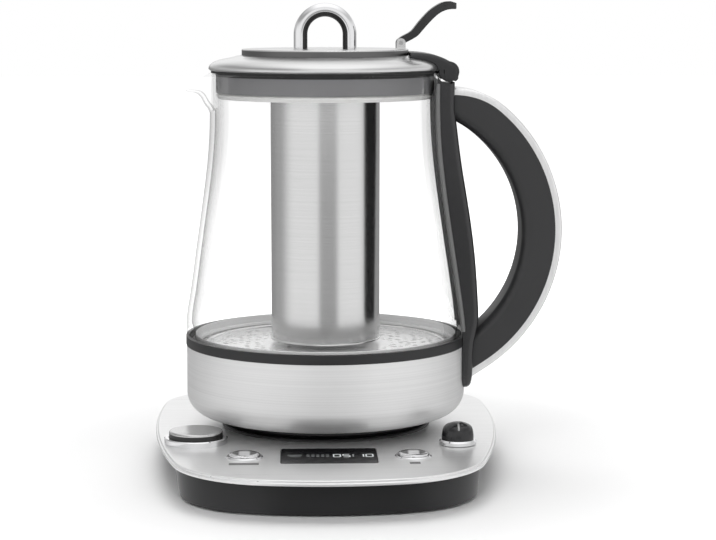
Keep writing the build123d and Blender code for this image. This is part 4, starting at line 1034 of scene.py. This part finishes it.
@dataclass
class Display:
    """What the base's display shows: a cup, two rows of level bars, and the time in seven-segment digits."""

    bench: Bench
    time: str = "0510"
    digit_ends: tuple[float, ...] = (20.4 * MM, 15.6 * MM, 8.6 * MM, 3.8 * MM)
    digit_height: float = 6.0 * MM
    digit_width: float = 3.4 * MM
    stroke: float = 0.75 * MM
    stroke_gap: float = 0.4 * MM
    colon_end: float = 12.1 * MM
    colon_rise: float = 1.4 * MM
    colon_size: Corner = (0.8 * MM, 0.8 * MM)
    cup_start: float = 7.0 * MM
    cup_widths: tuple[float, ...] = (7.2 * MM, 7.2 * MM, 5.2 * MM)
    cup_stroke: float = 0.9 * MM
    cup_pitch: float = 2.0 * MM
    level_start: float = 13.8 * MM
    level_count: int = 5
    level_pitch: float = 2.5 * MM
    level_rise: float = 1.5 * MM
    level_size: Corner = (1.6 * MM, 1.5 * MM)
    print_height: float = 0.06 * MM
    left: float = field(init=False)
    right: float = field(init=False)
    top: float = field(init=False)
    line: float = field(init=False)

    SEGMENTS: ClassVar[dict[str, str]] = {"0": "abcdef", "1": "bc", "5": "acdfg"}

    def __post_init__(self) -> None:
        """Find the window's edges, its top and its middle line."""
        (self.left, _, _), (self.right, _, self.top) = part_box("display_window")
        self.line = middle("display_window")[1]

    def dress(self) -> None:
        """Give the window its finish."""
        self.bench.dress("display_window")

    def build(self) -> None:
        """Light the cup, the level bars and the time."""
        self.add_cup()
        self.add_levels()
        self.add_digits()
        LOG.info("display lit")

    def lay(self, finish: str, size: Corner, places: dict[str, Corner]) -> None:
        """Lay equal flat marks on the window: one is modelled, and the others are copies of it.

        Args:
            finish: The finish's name.
            size: A mark's length and width.
            places: Each mark's name, and its middle in plan.
        """
        (first, start), *others = places.items()
        card = Card(first, "base", "display_black", finish)
        mark = self.bench.bar(card, (*start, self.top), (*size, self.print_height), self.print_height / 3)
        for name, place in others:
            shift = (place[0] - start[0], place[1] - start[1], 0.0)
            self.bench.copied(mark, card.named(name), Matrix.Translation(shift))

    def add_cup(self) -> None:
        """Show a cup as three bars, the lowest one shorter."""
        for row, width in enumerate(self.cup_widths):
            place = (self.left + self.cup_start, self.line - (row - 1) * self.cup_pitch)
            self.lay("segment_dim", (width, self.cup_stroke), {f"display_cup_{row}": place})

    def add_levels(self) -> None:
        """Show two rows of level bars."""
        self.lay("segment_dim", self.level_size, {
            f"display_level_{column}_{row + 1}": (
                self.left + self.level_start + column * self.level_pitch, self.line + row * self.level_rise)
            for column in range(self.level_count) for row in (-1, 1)})

    def add_digits(self) -> None:
        """Show the time: flat and upright segments of four digits, and the two dots between them."""
        side, half = self.digit_width / 2, self.digit_height / 2
        flat = {"a": (0.0, half), "g": (0.0, 0.0), "d": (0.0, -half)}
        rise = half / 2
        upright = {"b": (side, rise), "c": (side, -rise), "e": (-side, -rise), "f": (-side, rise)}
        for segments, size in ((flat, (self.digit_width - self.stroke_gap, self.stroke)),
                               (upright, (self.stroke, half - self.stroke_gap))):
            self.lay("segment_lit", size, {
                f"display_digit_{number}_{segment}": (self.right - end + x, self.line + y)
                for number, (digit, end) in enumerate(zip(self.time, self.digit_ends))
                for segment, (x, y) in segments.items() if segment in self.SEGMENTS[digit]})
        self.lay("segment_lit", self.colon_size, {
            f"display_colon_{row + 1}": (self.right - self.colon_end, self.line + row * self.colon_rise)
            for row in (-1, 1)})


@dataclass
class Jug:
    """The jug: cup, ring, glass, rail and handle."""

    bench: Bench
    rim_gap: float = 0.1 * MM
    rim_inset: float = 5.2 * MM
    rim_shelf: float = 2.0 * MM
    rim_rise: float = 0.9 * MM
    rim_thickness: float = 0.5 * MM
    bead_side: float = 21.3 * MM
    bead_radius: float = 1.3 * MM
    bead_stand: float = 0.6  # share of its radius that the bead's middle stands off the glass

    # the glass's outside, from its foot to its rim: radius and height
    GLASS: ClassVar[tuple[Corner, ...]] = (
        (76.1, 74.5), (76.0, 78.2), (74.7, 89.1), (70.6, 116.9), (66.6, 144.6), (63.3, 171.8), (62.4, 191.0),
        (62.5, 208.0))

    def dress(self) -> None:
        """Give the jug's nodes their finishes."""
        for node in ("underside_cover", "jug_socket", "socket_contacts", "heat_spreader", "heating_element",
                     "heat_sensor", "cover_posts", "underside_screws", "floor_gasket"):
            self.bench.dress(node)
        for node in ("cup_shell", "floor_plate", "handle_trim", "glass_jug"):
            self.bench.smooth(node)
        for node, finish in (("jug_ring", "ring_black"), ("handle_rail", "rail_black"),
                             ("handle_grip", "grip_black")):
            self.bench.smooth(node, finish)
        LOG.info("jug dressed")

    def build(self) -> None:
        """Add the floor's rim and the rail's beads."""
        self.add_floor_rim()
        self.add_rail_beads()
        LOG.info("jug's floor rim and rail beads made")

    def add_floor_rim(self) -> None:
        """Turn the steel floor's rim up inside the glass's foot, over the gasket."""
        floor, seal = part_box("floor_plate")[1][2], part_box("floor_gasket")[1][2] + self.rim_gap
        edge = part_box("jug_ring")[1]
        wall = edge[0] - self.rim_inset
        step = wall - self.rim_shelf
        thin = self.rim_thickness
        bend = 1.6 * thin
        top = edge[2] + self.rim_rise
        self.bench.spun(Card("floor_rim", "jug", "floor_steel", "rim_steel"), (
            (step, floor), (step, seal), (wall, seal), (wall, top - thin / 2), (wall - thin / 2, top),
            (wall - thin, top - thin / 2), (wall - thin, seal + bend), (wall - bend, seal + thin),
            (step - thin, seal + thin), (step - bend, floor)))

    def add_rail_beads(self) -> None:
        """Lay a bead of silicone along each side of the rail, where it meets the glass."""
        stand = self.bead_radius * self.bead_stand
        points = [(math.sqrt((radius * MM + stand) ** 2 - self.bead_side ** 2), -self.bead_side, height * MM)
                  for radius, height in self.GLASS]
        card = Card("rail_bead_front", "jug", "clear_silicone", "bead_grey")
        bead = self.bench.tube(card, points, self.bead_radius)
        self.bench.copied(bead, card.named("rail_bead_back"), FRONT_TO_BACK)


@dataclass
class Infuser:
    """The collar in the jug's mouth with the hanging infuser."""

    bench: Bench
    bead: float = 0.7 * MM
    bead_corners: int = 10

    def dress(self) -> None:
        """Give the infuser's nodes their finishes."""
        self.bench.smooth("mouth_collar", "collar_grey")
        self.bench.smooth("infuser_tube")
        for node in ("collar_seal", "infuser_filter"):
            self.bench.dress(node)
        LOG.info("infuser dressed")

    def build(self) -> None:
        """Roll a bead round the infuser's foot."""
        low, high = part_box("infuser_filter")
        turns = [2 * math.pi * corner / self.bead_corners for corner in range(self.bead_corners)]
        self.bench.spun(Card("infuser_bead", "infuser", "infuser_steel", "infuser_steel"), [
            (high[0] + self.bead * (1.0 + math.cos(turn)), low[2] + self.bead * (1.0 + math.sin(turn)))
            for turn in turns])
        LOG.info("infuser's bead made")


@dataclass
class Lid:
    """The lid with its ring handle, hood and thumb lever."""

    bench: Bench
    cheek_radius: float = 5.4 * MM
    cheek_width: float = 4.6 * MM
    cheek_inset: float = 0.3 * MM
    cheek_corners: int = 64
    cheek_round: float = 0.1  # share of the cheek's radius that its edge is rounded by
    cheek_flat: float = 0.45  # share of it that is flat round the pin's end
    groove_width: float = 0.06  # shares of it for the groove round that end
    groove_depth: float = 0.08

    def dress(self) -> None:
        """Give the lid's nodes their finishes."""
        for node in ("lid_liner", "ring_nuts", "hinge_pin", "lever_bracket", "lever_pin"):
            self.bench.dress(node)
        for node in ("lid_cap", "lid_hood", "thumb_lever"):
            self.bench.smooth(node)
        self.bench.smooth("lid_disc", "disc_steel")
        self.bench.smooth("ring_handle", "ring_chrome")
        LOG.info("lid dressed")

    def build(self) -> None:
        """Put a round cheek with the pin's sunk end on each side of the hood's hinge."""
        low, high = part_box("hinge_pin")
        reach = self.cheek_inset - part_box("lid_hood")[1][1]
        self.pick_disc(((low[0] + high[0]) / 2, reach + self.cheek_width / 2, (low[2] + high[2]) / 2))
        cheek = bpy.context.object
        radius = self.cheek_radius
        bpy.ops.object.mode_set(mode="EDIT")
        bpy.ops.mesh.inset(thickness=radius * self.cheek_flat, depth=0.0)
        bpy.ops.mesh.inset(thickness=radius * self.groove_width, depth=-radius * self.groove_depth)
        bpy.ops.mesh.select_all(action="DESELECT")
        bpy.ops.object.mode_set(mode="OBJECT")
        self.bench.round_edges(cheek, radius * self.cheek_round, 3, 50.0)
        card = Card("hinge_cheek_front", "lid", "gloss_black", "gloss_black")
        self.bench.hand_over(cheek, card)
        self.bench.copied(cheek, card.named("hinge_cheek_back"), FRONT_TO_BACK)
        LOG.info("hinge cheeks made")

    def pick_disc(self, centre: Sequence[float]) -> None:
        """Add the front cheek's disc, which lies along Y, and select its outer face.

        Args:
            centre: Its middle, in metres.
        """
        self.bench.pick_none()
        bpy.ops.mesh.primitive_cylinder_add(vertices=self.cheek_corners, radius=self.cheek_radius,
                                            depth=self.cheek_width, location=centre,
                                            rotation=(math.pi / 2, 0.0, 0.0))
        bpy.ops.object.transform_apply(location=True, rotation=True, scale=True)
        bpy.ops.object.mode_set(mode="EDIT")
        bpy.ops.mesh.select_mode(type="FACE")
        bpy.ops.mesh.select_all(action="DESELECT")
        bpy.ops.object.mode_set(mode="OBJECT")
        for face in bpy.context.object.data.polygons:
            face.select = face.normal.y < -0.9


# ---- studio
@dataclass(frozen=True)
class Lamp:
    """A soft square lamp: its name, its place and side in metres, and its power in watts."""

    name: str
    place: tuple[float, float, float]
    side: float
    power: float


@dataclass
class Studio:
    """Camera, lamps, floor and world."""

    eye: tuple[float, float, float] = (-20 * MM, -1138 * MM, 251 * MM)
    target: tuple[float, float, float] = (17.8 * MM, 0.0, 105.6 * MM)
    lens: float = 105.4
    sensor: float = 36.0
    lamps: tuple[Lamp, ...] = (
        Lamp("key_lamp", (-0.35, -1.35, 1.0), 0.9, 10.0),
        Lamp("fill_lamp", (0.7, -1.2, 0.8), 0.9, 4.0),
        Lamp("top_lamp", (0.0, -0.05, 1.6), 1.1, 9.0),
        Lamp("back_lamp", (0.0, 1.0, 1.5), 1.2, 11.0))
    lamp_target: tuple[float, float, float] = (0.0, 0.0, 0.1)
    day: float = 0.4
    floor_size: float = 12.0
    floor_colour: Colour = grey(0.86)
    floor_glow: float = 0.75
    shadow_reach: Corner = (0.14, 0.5)  # metres from the middle at which the glow begins and is full; nearer in, the floor has a painted shade
    gap_start: Corner = (-19.0, -9.0)  # degrees over which the gap in front begins
    gap_end: Corner = (17.0, 31.0)  # and ends
    flanks: Corner = (70.0, 112.0)  # degrees over which the studio darkens to the sides
    flank_fall: float = 0.54  # and by how much
    rear: Corner = (112.0, 150.0)  # the same to the rear
    rear_fall: float = 0.12
    gap_in_floor: float = 0.42  # the gap's brightness in the mirrored floor
    gap_in_walls: float = 0.95  # and in the mirrored walls

    def build(self) -> None:
        """Make everything that isn't part of the object."""
        bpy.context.scene.view_settings.view_transform = "Standard"
        self.add_camera()
        self.add_lamps()
        self.add_floor()
        self.add_world()
        LOG.info("studio built")

    def add_camera(self) -> None:
        """Put the camera at its place."""
        camera = bpy.data.objects.new("camera", bpy.data.cameras.new("camera"))
        bpy.context.scene.collection.objects.link(camera)
        camera.data.lens = self.lens
        camera.data.sensor_width = self.sensor
        camera.location = self.eye
        aim = Vector(self.target) - Vector(self.eye)
        camera.rotation_mode = "QUATERNION"
        camera.rotation_quaternion = aim.to_track_quat("-Z", "Y")
        bpy.context.scene.camera = camera

    def add_lamps(self) -> None:
        """Hang the soft lamps, which polished surfaces don't mirror."""
        for lamp in self.lamps:
            hung = bpy.data.objects.new(lamp.name, bpy.data.lights.new(lamp.name, "AREA"))
            bpy.context.scene.collection.objects.link(hung)
            hung.data.shape = "SQUARE"
            hung.data.size = lamp.side
            hung.data.energy = lamp.power
            hung.visible_glossy = False
            hung.location = lamp.place
            aim = Vector(self.lamp_target) - Vector(lamp.place)
            hung.rotation_mode = "QUATERNION"
            hung.rotation_quaternion = aim.to_track_quat("-Z", "Y")

    def bands(self, x: Value, y: Value, front: float) -> Value:
        """How bright the studio is each way round, as metal mirrors it: soft boxes with greyer gaps.

        Args:
            x: The direction's part along +X.
            y: The direction's part along +Y.
            front: The brightness of the gap in front.

        Returns:
            The brightness.
        """
        turn = x.angle_to(y * -1.0) * (180.0 / math.pi)
        gap = turn.step(*self.gap_start) * (1.0 - turn.step(*self.gap_end))
        flank = turn.size().step(*self.flanks) * self.flank_fall
        rear = turn.size().step(*self.rear) * self.rear_fall
        return 1.0 - gap * (1.0 - front) - flank - rear

    def add_floor(self) -> None:
        """Lay the pale floor, which shows white away from the object, keeps the object's shadow, and has a
        painted shade round its middle where its glow fades out.
        """
        bpy.ops.mesh.primitive_plane_add(size=self.floor_size)
        floor = bpy.context.object
        floor.name = "floor"
        material = bpy.data.materials.new("floor")
        material.use_nodes = True
        tree = Tree(material.node_tree)
        path = tree.node("LightPath")
        seen = (tree.value(path, "Is Camera Ray") + tree.value(path, "Is Transmission Ray")).clamped()
        glossy = tree.value(path, "Is Glossy Ray")
        x, y, _ = tree.parts(tree.node("TexCoord").outputs["Object"])
        # painted shade: the glow that whitens the floor fades out towards the middle, darkening the floor
        # round the object
        outside_painted_shade = ((x * x + y * y) ** 0.5).step(*self.shadow_reach)
        dull = tree.node("BsdfDiffuse", {"Color": (*self.floor_colour, 1.0)})
        glow = tree.node("Emission", {
            "Color": WHITE, "Strength": seen * outside_painted_shade * self.floor_glow})
        both = tree.node("AddShader", {0: dull.outputs[0], 1: glow.outputs[0]})
        mirrored = tree.node("Emission", {
            "Color": WHITE, "Strength": self.bands(x, y, self.gap_in_floor)})
        mix = tree.node("MixShader", {0: glossy, 1: both.outputs[0], 2: mirrored.outputs[0]})
        tree.node("OutputMaterial", {"Surface": mix.outputs[0]})
        floor.data.materials.append(material)

    def add_world(self) -> None:
        """Make the world: plain light on the object, white behind it, and soft boxes with gaps in metal."""
        world = bpy.data.worlds.new("studio")
        world.use_nodes = True
        bpy.context.scene.world = world
        tree = Tree(world.node_tree)
        path = tree.node("LightPath")
        straight = (tree.value(path, "Is Camera Ray") + tree.value(path, "Is Transmission Ray")).clamped()
        glossy = tree.value(path, "Is Glossy Ray")
        x, y, z = tree.parts(tree.node("TexCoord").outputs["Generated"])
        behind = y.step(-0.2, 0.3)
        above = z.step(0.03, 0.13) * behind + z.step(0.12, 0.45) * (1.0 - behind)
        zenith = z.step(0.7, 0.95) * 0.2
        belt = z.step(0.3, 0.5) * (1.0 - z.step(0.6, 0.75)) * 0.2
        left, right = (x * -1.0).step(0.15, 0.6) * 0.5, x.step(0.3, 0.7) * 0.25
        sky = 1.12 + zenith - belt - left - right
        mirrored = self.bands(x, y, self.gap_in_walls) * (1.0 - above) + sky * above
        level = self.day + straight * (1.0 - self.day) + glossy * (mirrored - self.day)
        back = tree.node("Background", {"Color": WHITE, "Strength": level})
        tree.node("OutputWorld", {"Surface": back.outputs[0]})


def main() -> None:
    """Load the frame, dress the object and build the studio."""
    logging.basicConfig(level=logging.INFO, format="%(message)s")
    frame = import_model()
    Studio().build()
    bench = Bench(frame, FinishBook())
    for part in (PowerBase(bench), Display(bench), Jug(bench), Infuser(bench), Lid(bench)):
        part.dress()
        part.build()


if __name__ == "__main__":
    main()
